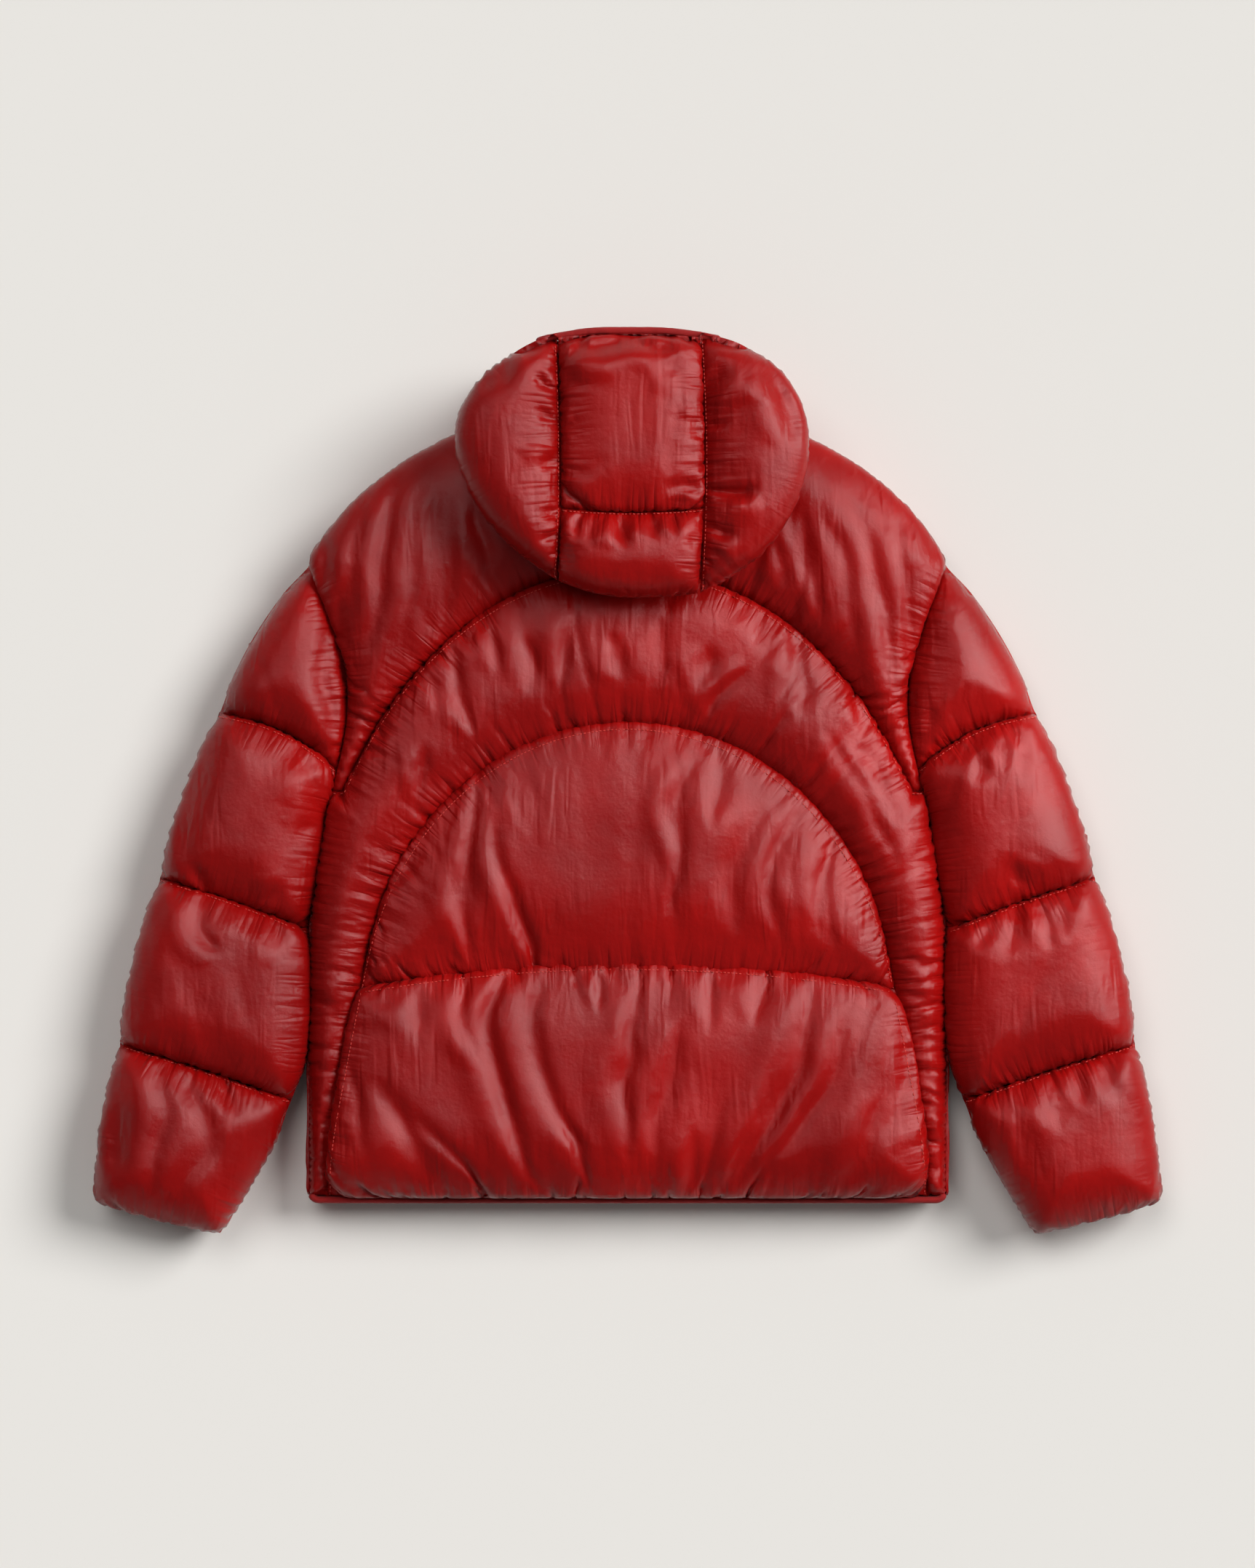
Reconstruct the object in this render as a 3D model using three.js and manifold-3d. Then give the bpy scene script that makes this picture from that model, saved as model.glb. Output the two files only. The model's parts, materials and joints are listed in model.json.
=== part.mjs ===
// A hooded down ski jacket lying face down on a flat surface, back upwards, hood folded onto the back.
// Millimetres. +Z is up, +Y runs from the hem to the hood, X = 0 is the centre back and the front zip.
// "left" and "right" are the wearer's, so left is -X.
import * as THREE from 'three';
import { mergeVertices } from 'three/addons/utils/BufferGeometryUtils.js';
import Module from 'manifold-3d';

const wasm = await Module();
wasm.setup();

// ---------------------------------------------------------------- driving dimensions
// body outline
const hemY = -392; // free edge of the hem
const bodyLength = 600; // hem to shoulder tip
const hemHalf = 300; // half the width at the hem
const chestHalf = hemHalf - 29; // half the width at the armpit
const sideFlare = 190; // length over which the side widens from armpit to hem width
const shoulderHalf = hemHalf - 5; // centre to shoulder tip
const armholeDepth = 195; // shoulder tip to armpit
const armholeScoop = 45; // how far the armhole seam bows in from the shoulder tip
const shoulderRise = 130; // shoulder tip up to the neck point
const neckHalf = 118; // centre to the neck point
const neckDip = 33; // drop of the neckline at centre back
const shoulderRound = 92; // outward roundness of the shoulder slope

// back quilting
const outerArchHalf = hemHalf * 1.01; // half width of the large arch seam
const outerArchRise = (bodyLength * 2) / 3; // height of the large arch over its centre
const outerArchBase = bodyLength * 0.32; // centre of the large arch over the hem edge
const innerArchHalf = hemHalf * 0.84; // half width of the small arch seam
const innerArchRise = bodyLength * 0.475;
const innerArchBase = bodyLength * 0.27;
const lowerSeamY = bodyLength / 3; // lower horizontal seam, over the hem edge, at its ends
const lowerSeamBow = 22; // and how far it rises at the centre
const hemPanelHalf = hemHalf - 20; // half width of the lower panel at the hem

// lofts and layers, from the surface upwards
const frontLoft = 28; // thickness of the front chambers
const liningThickness = 1.2;
const bodyHollow = 16; // room between the linings
const backLoft = 44; // thickness of the back chambers
const crown = 16; // height over which a chamber's edge rounds off
const crownInset = 10; // and how far it draws in
const skinGap = 0.3; // clearance between pieces that touch
const seamGap = 1.0; // width of a stitched seam between two chambers

// front opening
const hingeTopX = neckHalf - 23; // fold line of the opening flap at the top of the collar
const hingeHemX = hemHalf - 38; // and at the hem
const flapSeamUpper = bodyLength - armholeDepth + 47; // front quilting seams, over the hem edge
const flapSeamLower = (bodyLength * 29) / 75;
const frontNeckY = bodyLength + 56; // front neckline, over the hem edge
const zipHalf = 13; // centre to the edge of the front chambers
const zipTapeThickness = 1;
const zipCoil = 3; // thickness of the coil on the tape's edge
const zipCoilWidth = 2.2;
const zipCoilGap = 2.4; // between the two coils
const zipLevel = 13; // height of the tape over the surface

// collar
const collarHeight = 57; // neck point to collar top
const collarLoft = 33;
const collarTopHalf = neckHalf - 6;

// bindings
const hemBinding = 6; // depth of the elastic binding at the hem
const cuffBinding = 6;
const bindingLift = 18; // underside of the bindings over the surface
const bindingTop = 60;

// sleeves
const sleeveSpread = 201; // shoulder tip to outer cuff corner, sideways
const sleeveDrop = bodyLength + 1; // shoulder tip to outer cuff corner, downwards
const cuffWidth = 110; // sideways distance between the cuff corners
const cuffSlope = 28.5; // how much lower the inner cuff corner is
const sleeveTuck = sleeveDrop * 0.4526; // length of the inner edge that lies along the body
const sleeveLoft = 76; // whole thickness of a sleeve
const sleeveWall = 25; // width of the down wall at the sleeve's edges
const sleeveFloor = 26; // thickness of the lower layer
const armHollow = 18; // room inside the arm
const sleeveSeams = [0.238, 0.492, 0.749]; // seam ends on the outer edge, as a share of the drop
const sleeveSeamsInner = [0.0, 0.345, 0.71]; // and on the inner edge
const sleeveSeamBow = [26, 6, 4];

// hood
const hoodHalf = 168;
const hoodLength = 250; // rim to the fold of the crown
const hoodWidest = 106; // rim to the widest line
const hoodRise = 26; // rim over the collar top
const hoodLift = 1.5; // clearance of the hood over the back
const hoodLoft = 80; // thickness of the folded hood
const hoodWall = 34; // down wall at the hood's sides and crown
const hoodFloor = 20; // thickness of the layer next to the back
const hoodHollow = 19;
const hoodPanelHalf = 66; // half width of the centre panel
const hoodSeam = 90; // crown fold to the centre panel's cross seam
const hoodBinding = 7;
const hoodMouthHalf = 104;

// hanger loop
const loopHalf = 32;
const loopThickness = 2;
const loopStand = 6; // room behind the loop
const loopWidth = 8;

// ---------------------------------------------------------------- levels and shared curves
const shoulderY = hemY + bodyLength;
const armpitY = shoulderY - armholeDepth;
const neckY = shoulderY + shoulderRise;
const collarTopY = neckY + collarHeight;
const frontLiningZ = frontLoft + skinGap;
const hollowZ = frontLiningZ + liningThickness;
const backLiningZ = hollowZ + bodyHollow;
const backZ = backLiningZ + liningThickness + skinGap;
const backTopZ = backZ + backLoft;
const panelY = hemY + hemBinding + skinGap; // where the chambers begin over the hem binding

const P = (x, y) => new THREE.Vector2(x, y);
const mirror = (points) => points.map((p) => P(-p.x, p.y)).reverse();
const mix = (a, b, t) => a + (b - a) * t;

function quadratic(a, c, b, steps) {
  return new THREE.QuadraticBezierCurve(a, c, b).getPoints(steps);
}

function sideX(y) {
  const t = THREE.MathUtils.clamp((armpitY - y) / sideFlare, 0, 1);
  return mix(chestHalf, hemHalf, Math.sin((t * Math.PI) / 2));
}

function sidePoints(from, to, steps) {
  return Array.from({ length: steps + 1 }, (_, i) => {
    const y = mix(from, to, i / steps);
    return P(sideX(y), y);
  });
}

function archX(y, half, rise, base) {
  const h = (y - (hemY + base)) / rise;
  return half * Math.sqrt(Math.max(0, 1 - h * h));
}

const outerArchX = (y) => archX(y, outerArchHalf, outerArchRise, outerArchBase);
const innerArchX = (y) => archX(y, innerArchHalf, innerArchRise, innerArchBase);

// the right half of an arch from y up to its apex
function archPoints(y, half, rise, base, steps) {
  const start = Math.asin((y - (hemY + base)) / rise);
  return Array.from({ length: steps + 1 }, (_, i) => {
    const a = mix(start, Math.PI / 2, i / steps);
    return P(half * Math.cos(a), hemY + base + rise * Math.sin(a));
  });
}

const neckPoint = P(neckHalf, neckY);
const shoulderTip = P(shoulderHalf, shoulderY);
const armpit = P(chestHalf, armpitY);
const necklineHalf = quadratic(P(0, neckY - neckDip), P(neckHalf * 0.6, neckY - neckDip), neckPoint, 4);
const shoulderControl = P(
  (neckHalf + shoulderHalf) / 2 + shoulderRound * 0.37,
  (neckY + shoulderY) / 2 + shoulderRound * 0.3,
);
const shoulderHalfCurve = quadratic(neckPoint, shoulderControl, shoulderTip, 6);
const armholeControl = P(
  shoulderHalf - armholeScoop - (shoulderHalf - chestHalf) / 2,
  mix(shoulderY, armpitY, 0.58),
);
const armholeCurve = quadratic(shoulderTip, armholeControl, armpit, 8);

const hingeX = (y) => mix(hingeTopX, hingeHemX, (collarTopY - y) / (collarTopY - hemY));

// ---------------------------------------------------------------- solids
// moves every edge of a counter-clockwise outline inwards by d
function inset(points, d) {
  const n = points.length;
  return points.map((p, i) => {
    const a = p.clone().sub(points[(i + n - 1) % n]).normalize();
    const b = points[(i + 1) % n].clone().sub(p).normalize();
    const na = P(-a.y, a.x);
    const nb = P(-b.y, b.x);
    const m = na.clone().add(nb).normalize();
    return p.clone().addScaledVector(m, d / Math.max(0.3, m.dot(na)));
  });
}

// counter-clockwise, without repeated points or points on a straight run
function tidy(points) {
  let kept = points.filter((p, i) => {
    const q = points[(i + points.length - 1) % points.length];
    return p.distanceTo(q) > 0.4;
  });
  kept = kept.filter((p, i) => {
    const a = p.clone().sub(kept[(i + kept.length - 1) % kept.length]).normalize();
    const b = kept[(i + 1) % kept.length].clone().sub(p).normalize();
    return Math.abs(a.cross(b)) > 0.004;
  });
  if (THREE.ShapeUtils.area(kept) < 0) kept.reverse();
  return kept;
}

function solid(geometry) {
  geometry.deleteAttribute('normal');
  geometry.deleteAttribute('uv');
  const g = mergeVertices(geometry, 1e-4);
  return new wasm.Manifold(
    new wasm.Mesh({
      numProp: 3,
      vertProperties: new Float32Array(g.attributes.position.array),
      triVerts: new Uint32Array(g.index.array),
    }),
  );
}

// a straight-sided plate over an outline
function plate(points, z0, z1) {
  const g = new THREE.ExtrudeGeometry(new THREE.Shape(points), {
    depth: z1 - z0,
    bevelEnabled: false,
    steps: 1,
  });
  g.translate(0, 0, z0);
  return solid(g);
}

// a padded plate: rounded off on top, and below too if both is set
function puff(points, z0, z1, both = false, rise = crown, draw = crownInset) {
  const low = both ? z0 + rise : z0;
  const g = new THREE.ExtrudeGeometry(new THREE.Shape(points), {
    depth: z1 - rise - low,
    bevelEnabled: true,
    bevelThickness: rise,
    bevelSize: draw,
    bevelOffset: -draw,
    bevelSegments: 2,
    steps: 1,
  });
  g.translate(0, 0, low);
  const body = solid(g);
  return both ? body : body.subtract(block(-2000, 2000, -2000, 2000, z0 - 200, z0));
}

function block(x0, x1, y0, y1, z0, z1) {
  const g = new THREE.BoxGeometry(x1 - x0, y1 - y0, z1 - z0);
  g.translate((x0 + x1) / 2, (y0 + y1) / 2, (z0 + z1) / 2);
  return solid(g);
}

const seamed = (points) => inset(tidy(points), seamGap / 2);

// ---------------------------------------------------------------- colours
const shellRed = { color: 0x9c1f20, roughness: 0.42, metalness: 0 };
const shellLight = { color: 0xa82624, roughness: 0.42, metalness: 0 };
const shellDeep = { color: 0x8c1719, roughness: 0.42, metalness: 0 };
const bindingRed = { color: 0x6e1215, roughness: 0.8, metalness: 0 };
const liningRed = { color: 0x7d1518, roughness: 0.6, metalness: 0 };
const zipRed = { color: 0x5a0f12, roughness: 0.5, metalness: 0 };
const metalDark = { color: 0x4a4542, roughness: 0.35, metalness: 0.9 };

const jacket = new THREE.Group();
jacket.name = 'ski_jacket';

function add(name, body, look) {
  const m = body.getMesh();
  const g = new THREE.BufferGeometry();
  g.setAttribute('position', new THREE.BufferAttribute(new Float32Array(m.vertProperties), 3));
  g.setIndex(new THREE.BufferAttribute(new Uint32Array(m.triVerts), 1));
  g.computeVertexNormals();
  const mesh = new THREE.Mesh(g, new THREE.MeshStandardMaterial(look));
  mesh.name = name;
  jacket.add(mesh);
}

// the same solid on the other side of the jacket
function flipped(body) {
  return body.mirror([1, 0, 0]);
}

function addPair(name, body, look) {
  add(`right_${name}`, body, look);
  add(`left_${name}`, flipped(body), look);
}

// ---------------------------------------------------------------- back chambers
const archFootY = armpitY - 20; // the yoke's foot ends here, where the large arch nears the side
const yokeRight = [
  ...necklineHalf,
  ...shoulderHalfCurve.slice(1),
  ...armholeCurve.slice(1),
  ...sidePoints(armpitY, archFootY, 2).slice(1),
  ...archPoints(archFootY, outerArchHalf, outerArchRise, outerArchBase, 14),
];
const yokeLeft = mirror(yokeRight);
add('back_yoke', plate(seamed([...yokeRight, ...yokeLeft.slice(1, -1)]), backZ, backTopZ), shellRed);

const bandOuter = [
  ...sidePoints(panelY, archFootY, 6),
  ...archPoints(archFootY, outerArchHalf, outerArchRise, outerArchBase, 14),
];
const bandInner = [
  P(hemPanelHalf, panelY),
  P(hemPanelHalf, panelY + 36),
  ...archPoints(hemY + lowerSeamY, innerArchHalf, innerArchRise, innerArchBase, 12),
];
const bandOutline = [
  ...bandOuter,
  ...mirror(bandOuter).slice(1),
  ...mirror(bandInner).reverse(),
  ...bandInner.slice(0, -1).reverse(),
];
add('back_arch_band', plate(seamed(bandOutline), backZ, backTopZ), shellLight);

const lowerSeamEnd = P(innerArchX(hemY + lowerSeamY), hemY + lowerSeamY);
const lowerSeam = quadratic(
  P(-lowerSeamEnd.x, lowerSeamEnd.y),
  P(0, lowerSeamEnd.y + lowerSeamBow * 2),
  lowerSeamEnd,
  10,
);
const domeRight = archPoints(hemY + lowerSeamY, innerArchHalf, innerArchRise, innerArchBase, 12);
add(
  'back_dome_panel',
  puff(seamed([...lowerSeam, ...domeRight, ...mirror(domeRight).slice(1)]), backZ, backTopZ),
  shellRed,
);
add(
  'back_lower_panel',
  puff(
    seamed([
      P(-hemPanelHalf, panelY),
      P(hemPanelHalf, panelY),
      P(hemPanelHalf, panelY + 36),
      ...lowerSeam.slice().reverse(),
      P(-hemPanelHalf, panelY + 36),
    ]),
    backZ,
    backTopZ,
  ),
  shellDeep,
);

// ---------------------------------------------------------------- linings and side seams of the body
const bodyRight = [
  ...necklineHalf,
  ...shoulderHalfCurve.slice(1),
  ...armholeCurve.slice(1),
  ...sidePoints(armpitY, panelY, 6).slice(1),
];
const bodyOutline = tidy([...bodyRight, ...mirror(bodyRight).slice(0, -1)]);
add('back_lining', plate(inset(bodyOutline, 3), backLiningZ, backLiningZ + liningThickness), liningRed);

const seamZ0 = frontLoft + skinGap;
const seamZ1 = backZ - skinGap;
const seamWidth = 2.5; // turned-in edge of the side and shoulder seams
function edgeStrip(points) {
  const inner = points.map((p, i) => {
    const a = points[Math.max(0, i - 1)];
    const b = points[Math.min(points.length - 1, i + 1)];
    const t = b.clone().sub(a).normalize();
    return p.clone().add(P(t.y, -t.x).multiplyScalar(-seamWidth));
  });
  return plate(tidy([...points, ...inner.reverse()]), seamZ0, seamZ1);
}
const stripSide = sidePoints(armpitY - 4, panelY + 1, 6).reverse();
addPair('side_seam', edgeStrip(stripSide), shellDeep);
const stripShoulder = shoulderHalfCurve.slice().reverse();
addPair('shoulder_seam', edgeStrip(stripShoulder), shellDeep);

// ---------------------------------------------------------------- front chambers
const seamU = hemY + flapSeamUpper;
const seamL = hemY + flapSeamLower;
const neckFrontY = hemY + frontNeckY;
const onArmhole = armholeCurve.filter((p) => p.y > seamU + 4);
const underArmhole = armholeCurve.filter((p) => p.y <= seamU + 4);
const shoulderFront = [
  P(hingeX(seamU), seamU),
  P(underArmhole[0].x, seamU),
  ...onArmhole.slice().reverse(),
  ...shoulderHalfCurve.slice(0, -1).reverse(),
  P(hingeX(neckY - 6), neckY - 6),
];
const frontPuff = (points) => puff(seamed(points), 0, frontLoft, true, 5, 4);
addPair('front_shoulder_panel', frontPuff(shoulderFront), shellRed);
const sideFront = [
  P(hingeX(seamL), seamL),
  ...sidePoints(seamL, armpitY, 5),
  ...underArmhole.slice(0, -1).reverse(),
  P(hingeX(seamU), seamU),
];
addPair('front_side_panel', frontPuff(sideFront), shellLight);
const hemFront = [
  P(hingeX(panelY), panelY),
  ...sidePoints(panelY, seamL, 3),
  P(hingeX(seamL), seamL),
];
addPair('front_hem_panel', frontPuff(hemFront), shellDeep);
const liningFixed = [
  P(hingeX(panelY), panelY),
  ...sidePoints(panelY, armpitY, 6),
  ...armholeCurve.slice(0, -1).reverse(),
  ...shoulderHalfCurve.slice(0, -1).reverse(),
  P(hingeX(neckY - 6), neckY - 6),
];
const liningMargin = seamWidth + skinGap + 0.5;
addPair(
  'front_lining',
  plate(inset(tidy(liningFixed), liningMargin), frontLiningZ, frontLiningZ + liningThickness),
  liningRed,
);

const flap = (y0, y1) => [P(zipHalf, y0), P(hingeX(y0), y0), P(hingeX(y1), y1), P(zipHalf, y1)];
addPair('flap_upper_panel', frontPuff(flap(seamU, neckFrontY)), shellRed);
addPair('flap_middle_panel', frontPuff(flap(seamL, seamU)), shellLight);
addPair('flap_lower_panel', frontPuff(flap(panelY, seamL)), shellDeep);
addPair('flap_collar', frontPuff(flap(neckFrontY, collarTopY)), shellRed);
addPair(
  'flap_lining',
  plate(inset(flap(panelY, neckFrontY), 1), frontLiningZ, frontLiningZ + liningThickness),
  liningRed,
);

// ---------------------------------------------------------------- collar and hanger loop
const collarRight = [
  ...necklineHalf,
  P(collarTopHalf, collarTopY),
];
const collarOutline = seamed([...collarRight, ...mirror(collarRight).slice(0, -1)]);
const neckHole = inset(
  [
    P(-hingeX(neckFrontY - 60), neckFrontY - 60),
    P(hingeX(neckFrontY - 60), neckFrontY - 60),
    P(hingeX(collarTopY + 40), collarTopY + 40),
    P(-hingeX(collarTopY + 40), collarTopY + 40),
  ],
  -seamGap / 2,
);
const collarTopZ = backZ + collarLoft;
add(
  'collar_back',
  puff(collarOutline, 0, collarTopZ, false, 8, 6).subtract(plate(neckHole, -50, backZ)),
  shellRed,
);
const loopY = neckY - neckDip + 14;
const loopTop = backZ - skinGap;
const loopLow = loopTop - loopStand - loopThickness;
add(
  'hanger_loop',
  block(-loopHalf, loopHalf, loopY, loopY + loopWidth, loopLow, loopTop).subtract(
    block(
      -loopHalf + loopThickness,
      loopHalf - loopThickness,
      loopY - 5,
      loopY + loopWidth + 5,
      loopLow + loopThickness,
      loopTop + 5,
    ),
  ),
  bindingRed,
);

// ---------------------------------------------------------------- hem binding
const hollowEdge = 14; // body wall beside the hem opening
add(
  'hem_binding',
  block(-hemHalf, hemHalf, hemY, hemY + hemBinding, bindingLift, bindingTop)
    .subtract(
      block(-hemHalf + hollowEdge, hemHalf - hollowEdge, hemY - 5, hemY + 20, frontLiningZ, backLiningZ),
    )
    .subtract(
      block(
        -hingeX(hemY) - seamGap / 2,
        hingeX(hemY) + seamGap / 2,
        hemY - 5,
        hemY + 20,
        0,
        backLiningZ,
      ),
    ),
  bindingRed,
);
addPair(
  'flap_hem_binding',
  block(zipHalf, hingeX(hemY) - seamGap / 2, hemY, hemY + hemBinding, zipLevel + 4, frontLoft),
  bindingRed,
);

// ---------------------------------------------------------------- front zip
const tapeIn = zipCoilGap / 2;
const tape = block(
  tapeIn,
  zipHalf + seamGap / 2 - skinGap,
  panelY,
  collarTopY - 2,
  zipLevel,
  zipLevel + zipTapeThickness,
).add(
  block(
    tapeIn,
    tapeIn + zipCoilWidth,
    panelY,
    collarTopY - 2,
    zipLevel + (zipTapeThickness - zipCoil) / 2,
    zipLevel + (zipTapeThickness + zipCoil) / 2,
  ),
);
addPair('zip_tape', tape, zipRed);

// the slider runs on the left coil
const sliderLength = 12;
const sliderTopY = collarTopY - 6;
const sliderX0 = -tapeIn - zipCoilWidth - 3;
const sliderX1 = -skinGap;
const sliderZ0 = zipLevel - 4;
const sliderZ1 = zipLevel + zipTapeThickness + 4;
const sliderBody = block(sliderX0, sliderX1, sliderTopY - sliderLength, sliderTopY, sliderZ0, sliderZ1);
const coilSlot = block(
  -tapeIn - zipCoilWidth - skinGap,
  -tapeIn + skinGap,
  sliderTopY - sliderLength - 5,
  sliderTopY + 5,
  zipLevel + (zipTapeThickness - zipCoil) / 2 - skinGap,
  zipLevel + (zipTapeThickness + zipCoil) / 2 + skinGap,
);
const tapeSlot = block(
  sliderX0 - 5,
  -tapeIn,
  sliderTopY - sliderLength - 5,
  sliderTopY + 5,
  zipLevel - skinGap,
  zipLevel + zipTapeThickness + skinGap,
);
add('zip_slider', sliderBody.subtract(coilSlot).subtract(tapeSlot), metalDark);
const pullLength = 30;
const pullTop = sliderZ0 - skinGap;
const pullHole = 3;
const pullX = (sliderX0 + sliderX1) / 2;
add(
  'zip_pull',
  block(pullX - 3, pullX + 3, sliderTopY - pullLength, sliderTopY, pullTop - 2, pullTop).subtract(
    block(
      pullX - pullHole / 2,
      pullX + pullHole / 2,
      sliderTopY - pullLength + 2,
      sliderTopY - pullLength + 2 + pullHole,
      pullTop - 10,
      pullTop + 10,
    ),
  ),
  metalDark,
);

// ---------------------------------------------------------------- sleeves (right one, then mirrored)
const cuffOuter = P(shoulderHalf + sleeveSpread, shoulderY - sleeveDrop);
const cuffInner = P(cuffOuter.x - cuffWidth, cuffOuter.y - cuffSlope);
const outerCurve = new THREE.CubicBezierCurve(
  shoulderTip,
  P(shoulderTip.x + sleeveSpread * 0.44, shoulderTip.y - sleeveDrop * 0.146),
  P(cuffOuter.x - sleeveSpread * 0.11, cuffOuter.y + sleeveDrop * 0.405),
  cuffOuter,
);

// the point of the outer edge at a share of the sleeve's drop
function outerAt(share) {
  const y = shoulderY - share * sleeveDrop;
  let lo = 0;
  let hi = 1;
  for (let i = 0; i < 40; i++) {
    const m = (lo + hi) / 2;
    if (outerCurve.getPoint(m).y > y) lo = m;
    else hi = m;
  }
  return outerCurve.getPoint(lo);
}

const tuckEnd = P(sideX(armpitY - sleeveTuck), armpitY - sleeveTuck);
const freeInner = new THREE.QuadraticBezierCurve(
  tuckEnd,
  P(mix(tuckEnd.x, cuffInner.x, 0.34), mix(tuckEnd.y, cuffInner.y, 0.5)),
  cuffInner,
);

// the point of the inner edge at a share of the height between armpit and inner cuff corner
function innerAt(share) {
  const y = mix(armpitY, cuffInner.y, share);
  if (y >= tuckEnd.y) return P(sideX(y), y);
  let lo = 0;
  let hi = 1;
  for (let i = 0; i < 40; i++) {
    const m = (lo + hi) / 2;
    if (freeInner.getPoint(m).y > y) lo = m;
    else hi = m;
  }
  return freeInner.getPoint(lo);
}

const run = (at, from, to, steps) =>
  Array.from({ length: steps + 1 }, (_, i) => at(mix(from, to, i / steps)));

function crossSeam(k) {
  const a = outerAt(sleeveSeams[k]);
  const b = innerAt(sleeveSeamsInner[k]);
  const n = P(b.y - a.y, a.x - b.x).normalize();
  if (n.y < 0) n.negate();
  const c = a.clone().add(b).multiplyScalar(0.5).addScaledVector(n, sleeveSeamBow[k]);
  return quadratic(a, c, b, 6);
}
const seam = [crossSeam(0), crossSeam(1), crossSeam(2)];

// the cuff edge, and the line where its binding begins
const cuffAxis = cuffInner.clone().sub(cuffOuter).normalize();
const cuffUp = P(-cuffAxis.y, cuffAxis.x).y > 0 ? P(-cuffAxis.y, cuffAxis.x) : P(cuffAxis.y, -cuffAxis.x);
const bindingShare = (cuffBinding + skinGap) / sleeveDrop;

const capOutline = [
  ...armholeCurve.slice().reverse(),
  ...run(outerAt, 0, sleeveSeams[0], 6).slice(1),
  ...seam[0].slice(1, -1),
];
const upperOutline = [
  ...seam[0],
  ...run(innerAt, sleeveSeamsInner[0], sleeveSeamsInner[1], 4).slice(1),
  ...seam[1].slice(0, -1).reverse(),
  ...run(outerAt, sleeveSeams[0], sleeveSeams[1], 4).slice(1, -1).reverse(),
];
const lowerOutline = [
  ...seam[1],
  ...run(innerAt, sleeveSeamsInner[1], sleeveSeamsInner[2], 5).slice(1),
  ...seam[2].slice(0, -1).reverse(),
  ...run(outerAt, sleeveSeams[1], sleeveSeams[2], 4).slice(1, -1).reverse(),
];
const cuffOutline = [
  ...seam[2],
  ...run(innerAt, sleeveSeamsInner[2], 1, 4).slice(1),
  ...run(outerAt, sleeveSeams[2], 1, 4).slice(1).reverse(),
];
const cuffFar = plate(
  tidy([
    cuffOuter.clone().addScaledVector(cuffAxis, -200).addScaledVector(cuffUp, cuffBinding + skinGap / 2),
    cuffInner.clone().addScaledVector(cuffAxis, 200).addScaledVector(cuffUp, cuffBinding + skinGap / 2),
    cuffInner.clone().addScaledVector(cuffAxis, 200).addScaledVector(cuffUp, -200),
    cuffOuter.clone().addScaledVector(cuffAxis, -200).addScaledVector(cuffUp, -200),
  ]),
  -50,
  300,
);

// the arm's hollow, from inside the body to past the cuff
const hollowOuter = run(outerAt, 0.14, 1, 10).map((p, i, all) => {
  const t = all[Math.min(i + 1, all.length - 1)].clone().sub(all[Math.max(i - 1, 0)]).normalize();
  return p.clone().add(P(t.y, -t.x).multiplyScalar(sleeveWall));
});
const hollowInner = run(innerAt, 0.1, 1, 9).map((p, i, all) => {
  const t = all[Math.min(i + 1, all.length - 1)].clone().sub(all[Math.max(i - 1, 0)]).normalize();
  return p.clone().add(P(-t.y, t.x).multiplyScalar(sleeveWall));
});
const past = cuffUp.clone().multiplyScalar(-30);
const hollowOutline = tidy([
  P(armholeControl.x - 20, shoulderY - 42),
  ...hollowOuter,
  hollowOuter.at(-1).clone().add(past),
  hollowInner.at(-1).clone().add(past),
  ...hollowInner.reverse(),
  P(armholeControl.x - 20, armpitY + 30),
]);
const armCeiling = sleeveFloor + armHollow;
const hollowSolid = plate(hollowOutline, sleeveFloor, armCeiling);

const tube = (points) =>
  puff(seamed(points), 0, sleeveLoft, true, 12, 7).subtract(hollowSolid);
addPair('sleeve_cap', tube(capOutline), shellRed);
addPair('sleeve_upper', tube(upperOutline), shellLight);
addPair('sleeve_lower', tube(lowerOutline), shellRed);
addPair('sleeve_end', tube(cuffOutline).subtract(cuffFar), shellLight);
addPair(
  'cuff_binding',
  plate(seamed(cuffOutline), bindingLift, bindingTop - 4).intersect(
    plate(
      tidy([
        cuffOuter.clone().addScaledVector(cuffAxis, -50),
        cuffInner.clone().addScaledVector(cuffAxis, 50),
        cuffInner.clone().addScaledVector(cuffAxis, 50).addScaledVector(cuffUp, cuffBinding - skinGap / 2),
        cuffOuter.clone().addScaledVector(cuffAxis, -50).addScaledVector(cuffUp, cuffBinding - skinGap / 2),
      ]),
      0,
      100,
    ),
  ).subtract(hollowSolid),
  bindingRed,
);
const liningTube = plate(inset(hollowOutline, skinGap), sleeveFloor + skinGap, armCeiling - skinGap).subtract(
  plate(
    inset(hollowOutline, skinGap + liningThickness),
    sleeveFloor + skinGap + liningThickness,
    armCeiling - skinGap - liningThickness,
  ),
);
const upperArmRegion = plate(
  inset(
    tidy([
      ...armholeCurve.slice().reverse(),
      ...run(outerAt, 0, sleeveSeams[1], 8).slice(1),
      ...seam[1].slice(1),
      ...run(innerAt, 0, sleeveSeamsInner[1], 4).slice(1, -1).reverse(),
    ]),
    seamGap / 2,
  ),
  0,
  100,
);
const forearmRegion = plate(
  inset(
    tidy([
      ...seam[1],
      ...run(innerAt, sleeveSeamsInner[1], 1, 8).slice(1),
      ...run(outerAt, sleeveSeams[1], 1, 8).slice(1).reverse(),
    ]),
    seamGap / 2,
  ),
  0,
  100,
);
addPair('upper_sleeve_lining', liningTube.intersect(upperArmRegion), liningRed);
addPair('forearm_lining', liningTube.intersect(forearmRegion), liningRed);

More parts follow.
